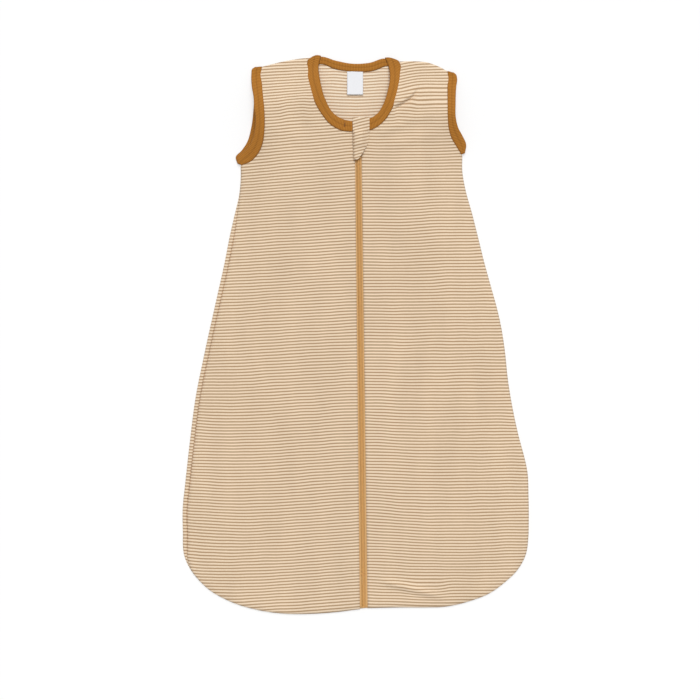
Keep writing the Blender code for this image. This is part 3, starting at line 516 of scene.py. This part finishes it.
for side, sign in (("left", -1), ("right", 1)):
    side_line, hem_line, shoulder = front_sewn[side]
    edge_line = np.vstack([side_line[::-1], hem_line[1:-8]])
    strip = tape_along(f"side_seam_{side}_allowance", sideways(edge_line, -sign * SEAM_NEAR),
                       sideways(edge_line, -sign * SEAM_FAR), lambda v: np.full(len(v), SIDE_SEAM_HEIGHT), 220,
                       OVERLOCK_THICKNESS, overlock)
    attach(strip, "bag")
    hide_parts(f"side_seam_{side}")
    strip = tape_along(f"shoulder_seam_{side}_allowance", sideways(shoulder, -SEAM_NEAR),
                       sideways(shoulder, -SEAM_FAR), lambda v: np.full(len(v), SHOULDER_SEAM_HEIGHT), 40,
                       OVERLOCK_THICKNESS, overlock)
    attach(strip, "bag")
    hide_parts(f"shoulder_seam_{side}")


# Neck binding: a strip of mustard rib knit folded in half over the raw edge of the neck and sewn through.
# The back run is seen from inside. Each front run starts on the back run at the shoulder and ends at the
# zip.
RIB_THICKNESS = 0.8 * MM
RIB_WIDTH = 12.5
BINDING_HALF = 1.15
# Rise of the strip's upper face between its edges, dip of its stitches and drop of its sewn edge
RIB_BULGE, STITCH_DIP, SEWN_DROP = 0.45, 0.35, 0.55
NECK_AT_SHOULDER = 4.4
TUCK_FROM_END, TUCK_WIDTH = 12.4, 1.2
NECK_CAP = {"left": 3.0, "right": 1.6}
CAP_RUN = 9.0
NECK_TUCK = {"left": 1.5, "right": 0.0}
NECK_OUTER = {
    "left": [(-60.3, 344.0), (-61.6, 330.2), (-55.9, 301.4), (-42.4, 274.7), (-30.9, 261.3), (-15.6, 253.7),
             (-1.6, 252.8)],
    "right": [(53.6, 343.2), (56.2, 336.5), (56.2, 326.3), (53.3, 305.3), (45.6, 282.3), (36.1, 267.1),
              (22.7, 256.6), (8.2, 253.0)],
}
NECK_INNER = {
    "left": [(-43.6, 349.3), (-46.4, 339.7), (-44.3, 314.8), (-38.6, 293.8), (-27.1, 274.7), (-15.6, 267.9),
             (-1.8, 265.1)],
    "right": [(36.8, 347.2), (40.6, 338.9), (42.8, 318.7), (39.9, 303.4), (34.2, 286.2), (26.6, 274.7),
              (17.3, 268.9), (7.8, 266.5)],
}
BACK_NECK_TOP = [(-55.0, 344.5), (-44.3, 348.4), (-25.0, 343.5), (-4.1, 339.7), (18.0, 341.0), (36.1, 346.2),
                 (47.0, 343.5)]
BACK_NECK_LOW = [(-55.0, 338.0), (-42.4, 339.4), (-25.2, 333.1), (-4.1, 330.2), (22.7, 331.2), (37.9, 336.8),
                 (47.0, 337.0)]

# Rib knit of cotton with elastane, piece dyed. The eye sees fine ribs that run across the strip, a pressed-in
# row of stitches along its middle and a matt surface. The ribs are darkened in their grooves, and the strip at
# its edges and fold, as painted shade. Ribs of about 1 mm are drawn at 2 mm, so that they show
rib, tree = new_material("mustard_rib_knit")
lay = add_node(tree, "ShaderNodeUVMap", uv_map="lay").outputs["UV"]
ribs = bands(tree, lay, 2.0, "X", {"Distortion": 0.8, "Detail": 1.0, "Detail Scale": 0.5})
fuzz = add_node(tree, "ShaderNodeTexNoise", {"Vector": lay, "Scale": 0.6, "Detail": 4.0, "Roughness": 0.6})
grain = add_node(tree, "ShaderNodeMath", {0: fuzz.outputs["Fac"], 1: 0.9, 2: ribs}, operation="MULTIPLY_ADD")
# Ribs darker in their grooves: painted shade
depth = add_node(tree, "ShaderNodeMapRange", {"Value": grain.outputs[0], "From Min": 0.2, "From Max": 1.7})
mustard = colour_between(tree, depth.outputs[0], shade("965C18"), shade("C28438"))
across = add_node(tree, "ShaderNodeSeparateXYZ", {"Vector": lay}).outputs["Y"]
from_edge = add_node(tree, "ShaderNodeMath", {0: across, 1: RIB_WIDTH / 2}, operation="PINGPONG").outputs[0]
# Strip darkened towards its sewn edges and its fold: painted shade
painted_edge_shade = add_node(tree, "ShaderNodeMapRange", {"Value": from_edge, "From Min": 0.2, "From Max": 1.7, "To Min": 0.84,
                                            "To Max": 1.0}, interpolation_type="SMOOTHSTEP")
stitches = add_node(tree, "ShaderNodeMapRange", {"Value": from_edge, "From Min": RIB_WIDTH / 2 - 1.3,
                                                 "From Max": RIB_WIDTH / 2 - 0.3, "To Min": 1.0, "To Max": 0.84},
                    interpolation_type="SMOOTHSTEP")
level = add_node(tree, "ShaderNodeMath", {0: painted_edge_shade.outputs[0], 1: stitches.outputs[0]}, operation="MULTIPLY")
stitched_and_edge_shaded = add_node(tree, "ShaderNodeVectorMath", {0: mustard, "Scale": level.outputs[0]}, operation="SCALE")
relief = add_node(tree, "ShaderNodeBump", {"Height": grain.outputs[0], "Strength": 0.5, "Distance": 0.0006})
dress_shader(tree, stitched_and_edge_shaded.outputs[0], relief, {"Roughness": 0.9, "Specular IOR Level": 0.2, "Sheen Weight": 0.05,
                                              "Sheen Roughness": 0.5})


def middle_of(first, second, shares):
    """Plan places half way between two lines."""
    return (along(first, shares) + along(second, shares)) / 2


def binding_strip(cloth_edge, fold_edge, heights, steps, cap=0.0, notch=0.0):
    """Folded strip over a cloth edge: up one face, round the fold and back over the other, as grid places and lay.
    cap rounds its first end outwards, and notch is the depth of a tuck sewn across it near its last end."""
    grid, u, v = grid_mesh(30, steps)
    cloth = along(cloth_edge, v)
    fold = along(fold_edge, v)
    length = (run_of(cloth_edge)[-1] + run_of(fold_edge)[-1]) / 2
    wide = np.linalg.norm(fold - cloth, axis=1)
    straight = wide - BINDING_HALF
    total = 2 * straight + math.pi * BINDING_HALF
    run = u * total
    bend = np.clip((run - straight) / BINDING_HALF, 0.0, math.pi) - math.pi / 2
    reach = np.where(run < straight, run, np.where(run > straight + math.pi * BINDING_HALF, total - run,
                                                   straight + BINDING_HALF * np.cos(bend)))
    lift = BINDING_HALF * np.sin(bend)
    share = reach / wide
    over = run > total / 2
    lift += np.where(over, RIB_BULGE * np.sin(math.pi * share) - STITCH_DIP * np.exp(-((share - 0.5) / 0.11)**2)
                     - SEWN_DROP * np.clip(1 - share / 0.16, 0.0, 1.0)**2, 0.0)
    tuck = np.exp(-(((1 - v) * length - TUCK_FROM_END) / TUCK_WIDTH)**2)
    lift -= np.where(over, notch * tuck * ease((share - 0.2) / 0.2), 0.0)
    plan = cloth + (fold - cloth) * share[:, None]
    outward = middle_of(cloth_edge, fold_edge, np.array([0.0, 0.03]))
    outward = (outward[0] - outward[1]) / np.linalg.norm(outward[0] - outward[1])
    rounded = cap * np.sin(math.pi * share) * (1 - ease(v * length / CAP_RUN))
    plan += rounded[:, None] * outward
    places = np.column_stack([plan, heights(v) + lift])
    lay = np.stack([v * length, (total - run) * 2 * RIB_WIDTH / total], axis=-1)
    return grid, places, lay


def height_along(first, second, ends):
    """Heights of a binding on the front, which ease to its own heights, if any, at its two ends."""
    shares = np.linspace(0.0, 1.0, 60)
    middle = middle_of(first, second, shares)
    on_front = front_height(middle[:, 0], middle[:, 1])[0]
    length = run_of(middle)
    for end, distance in zip(ends, (length, length[-1] - length)):
        if end is not None:
            on_front = end + (on_front - end) * ease(distance / BINDING_EASE)
    return lambda v: np.interp(v, shares, on_front)


for side in ("left", "right"):
    outer = smooth_line(NECK_OUTER[side])
    inner = smooth_line(NECK_INNER[side])
    work, places, lay = binding_strip(outer, inner, height_along(outer, inner, (NECK_AT_SHOULDER, None)), 130,
                                      NECK_CAP[side], NECK_TUCK[side])
    piece = cloth_piece(f"neck_binding_{side}_strip", work, places, lay, RIB_THICKNESS, rib)
    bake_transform(piece)
    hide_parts(f"neck_binding_{side}", f"neck_binding_{side}_end")

low = smooth_line(BACK_NECK_LOW)
top = smooth_line(BACK_NECK_TOP)
work, places, lay = binding_strip(low, top, lambda v: np.full(len(v), BACK_AT_BINDING), 70)
piece = cloth_piece("neck_binding_back_strip", work, places, lay, RIB_THICKNESS, rib)
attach(piece, "bag")
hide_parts("neck_binding_back")

# Bar tack: a short dense bar of zigzag stitches that closes the turned-in end of the left neck binding, just
# short of the chin guard. It pulls the rib down into a tuck. Its thread is drawn dark brown, partly as painted
# shade that darkens the tuck.
TACK_WIDTH = 1.5
TACK_FROM, TACK_TO = 0.34, 0.80
TACK_RISE, TACK_ROUND = 0.75, 0.35
tack_thread_with_painted_shade, tree = new_material("spun_polyester_thread")
lay = add_node(tree, "ShaderNodeUVMap", uv_map="lay").outputs["UV"]
zigzag = bands(tree, lay, 0.9, "DIAGONAL", {"Distortion": 0.6})
relief = add_node(tree, "ShaderNodeBump", {"Height": zigzag, "Strength": 0.6, "Distance": 0.0003})
# Dark brown thread: partly the stitches' own colour, partly painted shade of the tuck
dress_shader(tree, colour_between(tree, zigzag, shade("5C360C"), shade("8A571C")), relief, {"Roughness": 0.75})
outer = smooth_line(NECK_OUTER["left"])
inner = smooth_line(NECK_INNER["left"])
at_tack = np.array([1 - TUCK_FROM_END / ((run_of(outer)[-1] + run_of(inner)[-1]) / 2)])
start, end = along(outer, at_tack)[0], along(inner, at_tack)[0]
across = (end - start) / np.linalg.norm(end - start)
work, u, v = grid_mesh(6, 16)
share = TACK_FROM + v * (TACK_TO - TACK_FROM)
plan = start + share[:, None] * (end - start)
plan = plan + ((u - 0.5) * TACK_WIDTH)[:, None] * np.array([across[1], -across[0]])
height = height_along(outer, inner, (NECK_AT_SHOULDER, None))(at_tack)[0] + BINDING_HALF
height = height - NECK_TUCK["left"] + TACK_RISE
height = height + RIB_BULGE * np.sin(math.pi * share) - TACK_ROUND * (2 * u - 1)**2
bar_tack = cloth_piece("collar_end_bar_tack", work, np.column_stack([plan, height]),
                       np.column_stack([u * TACK_WIDTH, v * np.linalg.norm(end - start)]), 0.4 * MM, tack_thread_with_painted_shade)
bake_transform(bar_tack)


# Armhole bindings: the same folded rib strip, sewn into a ring round each armhole. One run lies on the
# front edge and one on the back edge, and they meet at the shoulder and at the armpit.
ARM_FOLD = {
    "left": [(-126.4, 335.2), (-129.6, 332.8), (-130.4, 326.8), (-129.8, 312.0), (-127.0, 295.0), (-126.4, 284.0),
             (-124.6, 271.0), (-124.8, 260.0), (-127.4, 247.0), (-133.8, 234.5), (-141.0, 227.5), (-147.3, 221.0),
             (-147.6, 214.8)],
    "right": [(122.6, 328.2), (125.6, 325.8), (126.6, 321.8), (125.3, 309.8), (124.2, 289.9), (124.4, 269.9),
              (127.6, 258.1), (133.4, 248.1), (137.9, 238.1), (136.5, 227.7)],
}
ARM_BACK_FOLD = {
    "left": [(-126.4, 334.9), (-129.3, 332.8), (-130.2, 326.8), (-129.6, 312.0), (-127.5, 295.0), (-128.2, 280.0),
             (-130.8, 259.5), (-136.2, 241.0), (-143.2, 230.5), (-150.2, 222.9), (-148.0, 214.6)],
    "right": [(122.6, 327.6), (125.2, 325.2), (126.2, 321.8), (125.1, 309.8), (124.2, 289.9), (124.6, 269.9),
              (127.8, 258.1), (133.6, 248.1), (137.9, 238.1), (136.5, 227.7)],
}
ARM_CLOTH_EDGE = {
    "left": [(-117.8, 336.0), (-118.2, 333.0), (-118.3, 329.7), (-116.8, 309.8), (-114.8, 289.9), (-113.6, 269.9),
             (-114.3, 250.1), (-116.8, 237.1), (-122.3, 226.1), (-131.3, 217.2), (-143.0, 212.7)],
    "right": [(115.2, 330.4), (115.5, 327.3), (115.4, 322.3), (114.8, 309.8), (114.6, 289.9), (114.8, 269.9),
              (116.1, 257.1), (119.6, 246.1), (125.9, 236.1), (132.5, 226.1)],
}
ARM_AT_SHOULDER = 3.6
ARM_LIFT = {"left": 0.9, "right": 0.0}


def lifted(heights, rise):
    """Heights of a run whose lower half stands off the run behind it."""
    return lambda v: heights(v) + rise * ease((v - 0.30) / 0.2) * ease((0.97 - v) / 0.2)



for side in ("left", "right"):
    cloth = smooth_line(ARM_CLOTH_EDGE[side])
    fold = smooth_line(ARM_FOLD[side])
    heights = lifted(height_along(cloth, fold, (ARM_AT_SHOULDER, None)), ARM_LIFT[side])
    work, places, lay = binding_strip(cloth, fold, heights, 110)
    front_run = cloth_piece(f"armhole_binding_{side}_front_run", work, places, lay, RIB_THICKNESS, rib)
    work, places, lay = binding_strip(cloth, smooth_line(ARM_BACK_FOLD[side]),
                                      lambda v: np.full(len(v), BACK_AT_BINDING), 90)
    back_run = cloth_piece(f"armhole_binding_{side}_back_run", work, places, lay, RIB_THICKNESS, rib)
    for piece in (front_run, back_run):
        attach(piece, "bag")
        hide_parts(f"armhole_binding_{side}")


# Zip tapes: two woven polyester tapes, dyed to match the rib, sewn behind the front edges from the hem to
# the neck. Only the strip between the two front edges shows.
ZIP_FOOT_HEIGHT = 0.0038
ZIP_FRAME = (Matrix.Translation((ZIP_FOOT[0] * MM, ZIP_FOOT[1] * MM, ZIP_FOOT_HEIGHT))
             @ Matrix.Rotation(ZIP_LEAN, 4, "Z") @ Matrix.Rotation(math.atan(FRONT_RISE), 4, "X"))
TAPE_FROM, TAPE_TO = 0.6, 600.0
TAPE_INNER, TAPE_OUTER = 0.6, 13.0
TAPE_HEIGHT, TAPE_THICKNESS = -0.7, 0.5 * MM

# Woven polyester tape. The eye sees close crosswise threads with a dull sheen; threads of about 0.4 mm are
# drawn at 1.2 mm, so that they show
tape_weave, tree = new_material("woven_polyester_tape")
lay = add_node(tree, "ShaderNodeUVMap", uv_map="lay").outputs["UV"]
picks = bands(tree, lay, 1.2, "Y", {"Distortion": 0.4})
ends = bands(tree, lay, 1.5, "X", {"Distortion": 0.4})
weave = add_node(tree, "ShaderNodeMath", {0: picks, 1: ends}, operation="MULTIPLY").outputs[0]
relief = add_node(tree, "ShaderNodeBump", {"Height": weave, "Strength": 0.4, "Distance": 0.0003})
dress_shader(tree, colour_between(tree, weave, shade("D2A466"), shade("E8C28C")), relief, {"Roughness": 0.7})


def foot_drop(up):
    """How far the zip comes down with the front at the hem, where its foot is caught in the seam."""
    near = np.clip(up / EDGE_ROUND, 0.0, 1.0)
    return (FRONT_HEIGHT - FRONT_EDGE_HEIGHT) * (1 - np.sqrt(near * (2 - near)))


for side, sign in (("left", -1), ("right", 1)):
    work, u, v = grid_mesh(6, 150)
    v = np.interp(v, (0.0, 0.1, 1.0), (0.0, 0.025, 1.0))
    across = sign * (TAPE_INNER + u * (TAPE_OUTER - TAPE_INNER))
    up = TAPE_FROM + v * (TAPE_TO - TAPE_FROM)
    places = [ZIP_FRAME @ Vector((x * MM, y * MM, z * MM)) / MM
              for x, y, z in zip(across, up, TAPE_HEIGHT - foot_drop(up))]
    tape = cloth_piece(f"zip_tape_{side}_weave", work, places, np.column_stack([across, up]), TAPE_THICKNESS,
                       tape_weave)
    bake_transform(tape)
    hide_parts(f"zip_tape_{side}")


# Zip coils: a nylon filament wound into loops and sewn to each tape. The heads of the two coils interlock
# on the zip line. Each loop is a flattened ring, leaned a little as in a spiral; the real loops are
# 1.2 mm apart and are drawn at 1.6 mm.
COIL_PITCH = 1.6
COIL_FROM, COIL_TO = 1.4, 587.0
COIL_WIRE, COIL_SPREAD = 0.42, 0.66
COIL_REACH, COIL_BACK = -0.9, 2.6
COIL_HEIGHT = 1.6
COIL_LEAN = 0.35

# Nylon, dyed in the mass: smooth, with a satin gloss on each loop and slight differences in tone from loop
# to loop. The moulded stops are drawn a shade deeper as painted shade, to match the shaded gaps of the coil
def dyed_nylon(name, darker, lighter):
    """Nylon between two shades."""
    made, tree = new_material(name)
    place = add_node(tree, "ShaderNodeTexCoord").outputs["Object"]
    batch = add_node(tree, "ShaderNodeTexNoise", {"Vector": place, "Scale": 400.0, "Detail": 2.0})
    dress_shader(tree, colour_between(tree, batch.outputs["Fac"], shade(darker), shade(lighter)), None,
                 {"Roughness": 0.38, "IOR": 1.53})
    return made


def ring_order(place):
    """Number that puts the parts of a loop in the same order each run, which a spin doesn't."""
    return 100.0 * math.atan2(place.y, place.x) + 10.0 * math.hypot(place.x, place.y) + place.z


nylon = dyed_nylon("nylon_filament", "D29B54", "E5B26D")
# The stops' deeper nylon is painted shade, to match the coil's shaded gaps
stop_nylon_painted_shade = dyed_nylon("moulded_nylon_painted_shade", "B98240", "C99350")

for side, sign in (("left", -1), ("right", 1)):
    work = bmesh.new()
    middle = sign * (COIL_REACH + COIL_BACK) / 2
    wide = (COIL_BACK - COIL_REACH) / 2 - COIL_WIRE
    on_ring = Matrix.Translation((1.0, 0.0, 0.0)) @ Matrix.Rotation(math.pi / 2, 4, "X")
    bmesh.ops.create_circle(work, segments=4, radius=COIL_WIRE, matrix=on_ring)
    bmesh.ops.spin(work, geom=work.verts[:] + work.edges[:], cent=(0, 0, 0), axis=(0, 0, 1), angle=2 * math.pi,
                   steps=10, use_merge=True)
    bmesh.ops.remove_doubles(work, verts=work.verts, dist=1e-4)
    work.verts.sort(key=lambda vertex: ring_order(vertex.co))
    work.faces.sort(key=lambda face: ring_order(face.calc_center_median()))
    for vertex in work.verts:
        ring = math.hypot(vertex.co.x, vertex.co.y)
        turn = math.atan2(vertex.co.y, vertex.co.x)
        off = ring - 1.0
        x = middle + (wide + off) * math.cos(turn)
        z = COIL_HEIGHT / 2 + (COIL_HEIGHT / 2 - COIL_WIRE + off) * math.sin(turn)
        vertex.co = (x, vertex.co.z * COIL_SPREAD / COIL_WIRE + COIL_LEAN * sign * math.cos(turn), z)
    bmesh.ops.recalc_face_normals(work, faces=work.faces)
    start = COIL_FROM + (COIL_PITCH / 2 if sign > 0 else 0.0)
    count = int((COIL_TO - start) / COIL_PITCH)
    first = work.verts[:] + work.edges[:] + work.faces[:]
    bmesh.ops.translate(work, vec=(0.0, start, 0.0), verts=work.verts)
    for loop in range(1, count):
        copy = bmesh.ops.duplicate(work, geom=first)["geom"]
        copied = [part for part in copy if isinstance(part, bmesh.types.BMVert)]
        bmesh.ops.translate(work, vec=(0.0, loop * COIL_PITCH, 0.0), verts=copied)
    for vertex in work.verts:
        if vertex.co.y < EDGE_ROUND:
            vertex.co.z -= foot_drop(max(vertex.co.y, 0.0))
    bmesh.ops.transform(work, matrix=ZIP_FRAME @ Matrix.Scale(MM, 4), verts=work.verts)
    for face in work.faces:
        face.smooth = True
    mesh = bpy.data.meshes.new(f"zip_coil_{side}_loops")
    work.to_mesh(mesh)
    work.free()
    mesh.materials.append(nylon)
    coil = bpy.data.objects.new(mesh.name, mesh)
    bpy.context.scene.collection.objects.link(coil)
    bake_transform(coil)
    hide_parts(f"zip_coil_{side}", f"zip_coil_end_{side}")

for stop in ("zip_top_stop_left", "zip_top_stop_right", "zip_bottom_stop"):
    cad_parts[stop].data.materials.clear()
    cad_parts[stop].data.materials.append(stop_nylon_painted_shade)


# Slider, bridge and pull tab: die-cast zinc, sprayed and stoved with mustard enamel. The slider rides on
# the two coils at the top of the zip, and the pull hangs from its bridge under the chin guard.
enamel, tree = new_material("stoved_enamel_on_zinc")
place = add_node(tree, "ShaderNodeTexCoord").outputs["Object"]
flow = add_node(tree, "ShaderNodeTexNoise", {"Vector": place, "Scale": 900.0, "Detail": 3.0}).outputs["Fac"]
relief = add_node(tree, "ShaderNodeBump", {"Height": flow, "Strength": 0.15, "Distance": 0.0001})
dress_shader(tree, colour_between(tree, flow, shade("B27A34"), shade("C48C44")), relief,
             {"Roughness": 0.3, "Coat Weight": 0.3})
for node in ("slider_body", "slider_bridge", "pull_tab"):
    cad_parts[node].data.materials.clear()
    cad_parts[node].data.materials.append(enamel)


# Chin guard: a small pointed flap of doubled striped jersey, sewn in at the left end of the neck binding.
# It lies over the slider and pull, humps up over them and drops at its edges.
GUARD_THICKNESS = 1.0 * MM
GUARD_LEAN = 0.25
GUARD_LEFT_EDGE = [(-5.0, 561.2), (-5.6, 564.0), (-6.0, 575.0), (-6.5, 600.0), (-6.7, 613.7)]
GUARD_RIGHT_EDGE = [(-1.6, 561.2), (0.6, 562.4), (3.5, 566.5), (8.5, 575.0), (13.0, 584.0), (13.9, 589.0),
                    (14.3, 600.0), (14.6, 613.7)]
# Heights over the zip: of the guard's edges and its crest, and what the rib, the bridge and its own tip add
GUARD_EDGE, GUARD_CREST = 1.45, 5.3
RIB_ADDS, BRIDGE_ADDS, TIP_ADDS = 1.9, 1.8, 3.0
work, u, v = grid_mesh(30, 66)
left_edge = by_height(smooth_line(GUARD_LEFT_EDGE), v)
right_edge = by_height(smooth_line(GUARD_RIGHT_EDGE), v)
across = left_edge[:, 0] + u * (right_edge[:, 0] - left_edge[:, 0])
up = left_edge[:, 1]
over_bridge = ease((up - 574.0) / 8.0) * (1 - ease((up - 592.0) / 12.0))
on_rib = ease((up - 592.0) / 8.0)
at_tip = (1 - ease((up - 561.5) / 8.0)) * ease((across + 4.8) / 3.0)
edge_height = GUARD_EDGE + RIB_ADDS * on_rib + TIP_ADDS * at_tip
crest = GUARD_CREST + BRIDGE_ADDS * over_bridge - RIB_ADDS * on_rib
hump = np.where(across < 0, 1 - ease((-across - 3.4) / 4.0), 1 - ease((across - 3.2) / 9.5))
height = edge_height + (crest - edge_height) * hump
places = [ZIP_FRAME @ (Vector((x, y, z)) * MM) / MM for x, y, z in zip(across, up, height)]
guard_lay = np.column_stack([across, up + GUARD_LEAN * -across])
chin_guard = cloth_piece("chin_guard_cloth", work, places, guard_lay, GUARD_THICKNESS, jersey)
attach(chin_guard, "chin_guard")
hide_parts("chin_guard")


# Neck label: a loop of white woven satin tape, sewn in under the back-neck binding. It is left bare.
# Its cut side edges are sealed, and its lower edge is the fold.
LABEL_LEFT, LABEL_RIGHT = -10.8, 9.2
LABEL_TOP, LABEL_LOW = 330.1, 300.9
LABEL_HEIGHT, LABEL_CURL, LABEL_CUP = 2.5, 0.9, 0.3
LABEL_THICKNESS = 0.5 * MM
# Woven satin of bright polyester. The eye sees a smooth white with fine lengthwise threads and a soft gloss
label_satin, tree = new_material("woven_satin_tape")
lay = add_node(tree, "ShaderNodeUVMap", uv_map="lay").outputs["UV"]
threads = bands(tree, lay, 0.9, "X", {"Distortion": 0.5})
relief = add_node(tree, "ShaderNodeBump", {"Height": threads, "Strength": 0.2, "Distance": 0.0002})
dress_shader(tree, colour_between(tree, threads, shade("E0E1E5"), shade("EDEEF1")), relief, {"Roughness": 0.5})
work, u, v = grid_mesh(20, 26)
x = LABEL_LEFT + u * (LABEL_RIGHT - LABEL_LEFT)
y = LABEL_LOW + v * (LABEL_TOP - LABEL_LOW)
lift = LABEL_HEIGHT + LABEL_CURL * (1 - v)**2 + LABEL_CUP * (2 * u - 1)**2 * (1 - v)
label = cloth_piece("neck_label_tape", work, np.column_stack([x, y, lift]), np.column_stack([x, y]), LABEL_THICKNESS,
                    label_satin)
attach(label, "neck_label")
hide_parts("neck_label")


# Stage: a white floor that keeps a soft shadow, a soft even key light from the head end, even light from
# all round, and a camera straight above.
FLOOR_HALF = 6.0
FLOOR_GLOW = 0.55
WORLD_LEVEL = 0.44
KEY_LEVEL, KEY_ANGLE = 2.05, 40
KEY_PLACE = (0.15, 1.0, 1.9)
CAMERA_PLACE = (-0.0072, -0.0191, 2.075)


def seen_directly(tree):
    """1 where the stage is looked at, also in a gloss or through a clear piece, and 0 where it only lights."""
    path = add_node(tree, "ShaderNodeLightPath")
    seen = add_node(tree, "ShaderNodeMath", {0: path.outputs["Is Camera Ray"], 1: path.outputs["Is Glossy Ray"]},
                    operation="MAXIMUM")
    seen = add_node(tree, "ShaderNodeMath", {0: seen.outputs[0], 1: path.outputs["Is Transmission Ray"]},
                    operation="MAXIMUM")
    return seen.outputs[0]


floor_work = bmesh.new()
bmesh.ops.create_grid(floor_work, x_segments=1, y_segments=1, size=FLOOR_HALF)
floor_mesh = bpy.data.meshes.new("floor")
floor_work.to_mesh(floor_mesh)
floor_work.free()
floor = bpy.data.objects.new("floor", floor_mesh)
bpy.context.scene.collection.objects.link(floor)
floor_white, tree = new_material("matt_white_paper")
shader = tree.nodes["Principled BSDF"]
shader.inputs["Base Color"].default_value = shade("FFFFFF")
shader.inputs["Roughness"].default_value = 1.0
shader.inputs["Specular IOR Level"].default_value = 0.0
share = add_node(tree, "ShaderNodeMath", {0: seen_directly(tree), 1: FLOOR_GLOW}, operation="MULTIPLY")
white = add_node(tree, "ShaderNodeEmission", {"Color": (1.0, 1.0, 1.0, 1.0), "Strength": 1.0})
paper = add_node(tree, "ShaderNodeMixShader", {0: share.outputs[0], 1: shader.outputs[0], 2: white.outputs[0]})
tree.links.new(paper.outputs[0], tree.nodes["Material Output"].inputs["Surface"])
floor_mesh.materials.append(floor_white)

world = bpy.data.worlds.new("studio")
bpy.context.scene.world = world
world.use_nodes = True
tree = world.node_tree
level = add_node(tree, "ShaderNodeMapRange", {"Value": seen_directly(tree), "To Min": WORLD_LEVEL, "To Max": 1.0})
background = tree.nodes["Background"]
background.inputs["Color"].default_value = (1.0, 1.0, 1.0, 1.0)
tree.links.new(level.outputs[0], background.inputs["Strength"])

lamp_data = bpy.data.lights.new("soft_key", "SUN")
lamp_data.energy = KEY_LEVEL
lamp_data.angle = math.radians(KEY_ANGLE)
lamp = bpy.data.objects.new("soft_key", lamp_data)
bpy.context.scene.collection.objects.link(lamp)
lamp.location = KEY_PLACE
lamp.rotation_mode = "QUATERNION"
lamp.rotation_quaternion = (Vector((0, 0, 0)) - lamp.location).to_track_quat("-Z", "Y")

camera_data = bpy.data.cameras.new("camera")
camera_data.lens = 85.0
camera_data.sensor_width = 36.0
camera = bpy.data.objects.new("camera", camera_data)
bpy.context.scene.collection.objects.link(camera)
camera.location = CAMERA_PLACE
bpy.context.scene.camera = camera
bpy.context.scene.view_settings.view_transform = "Standard"
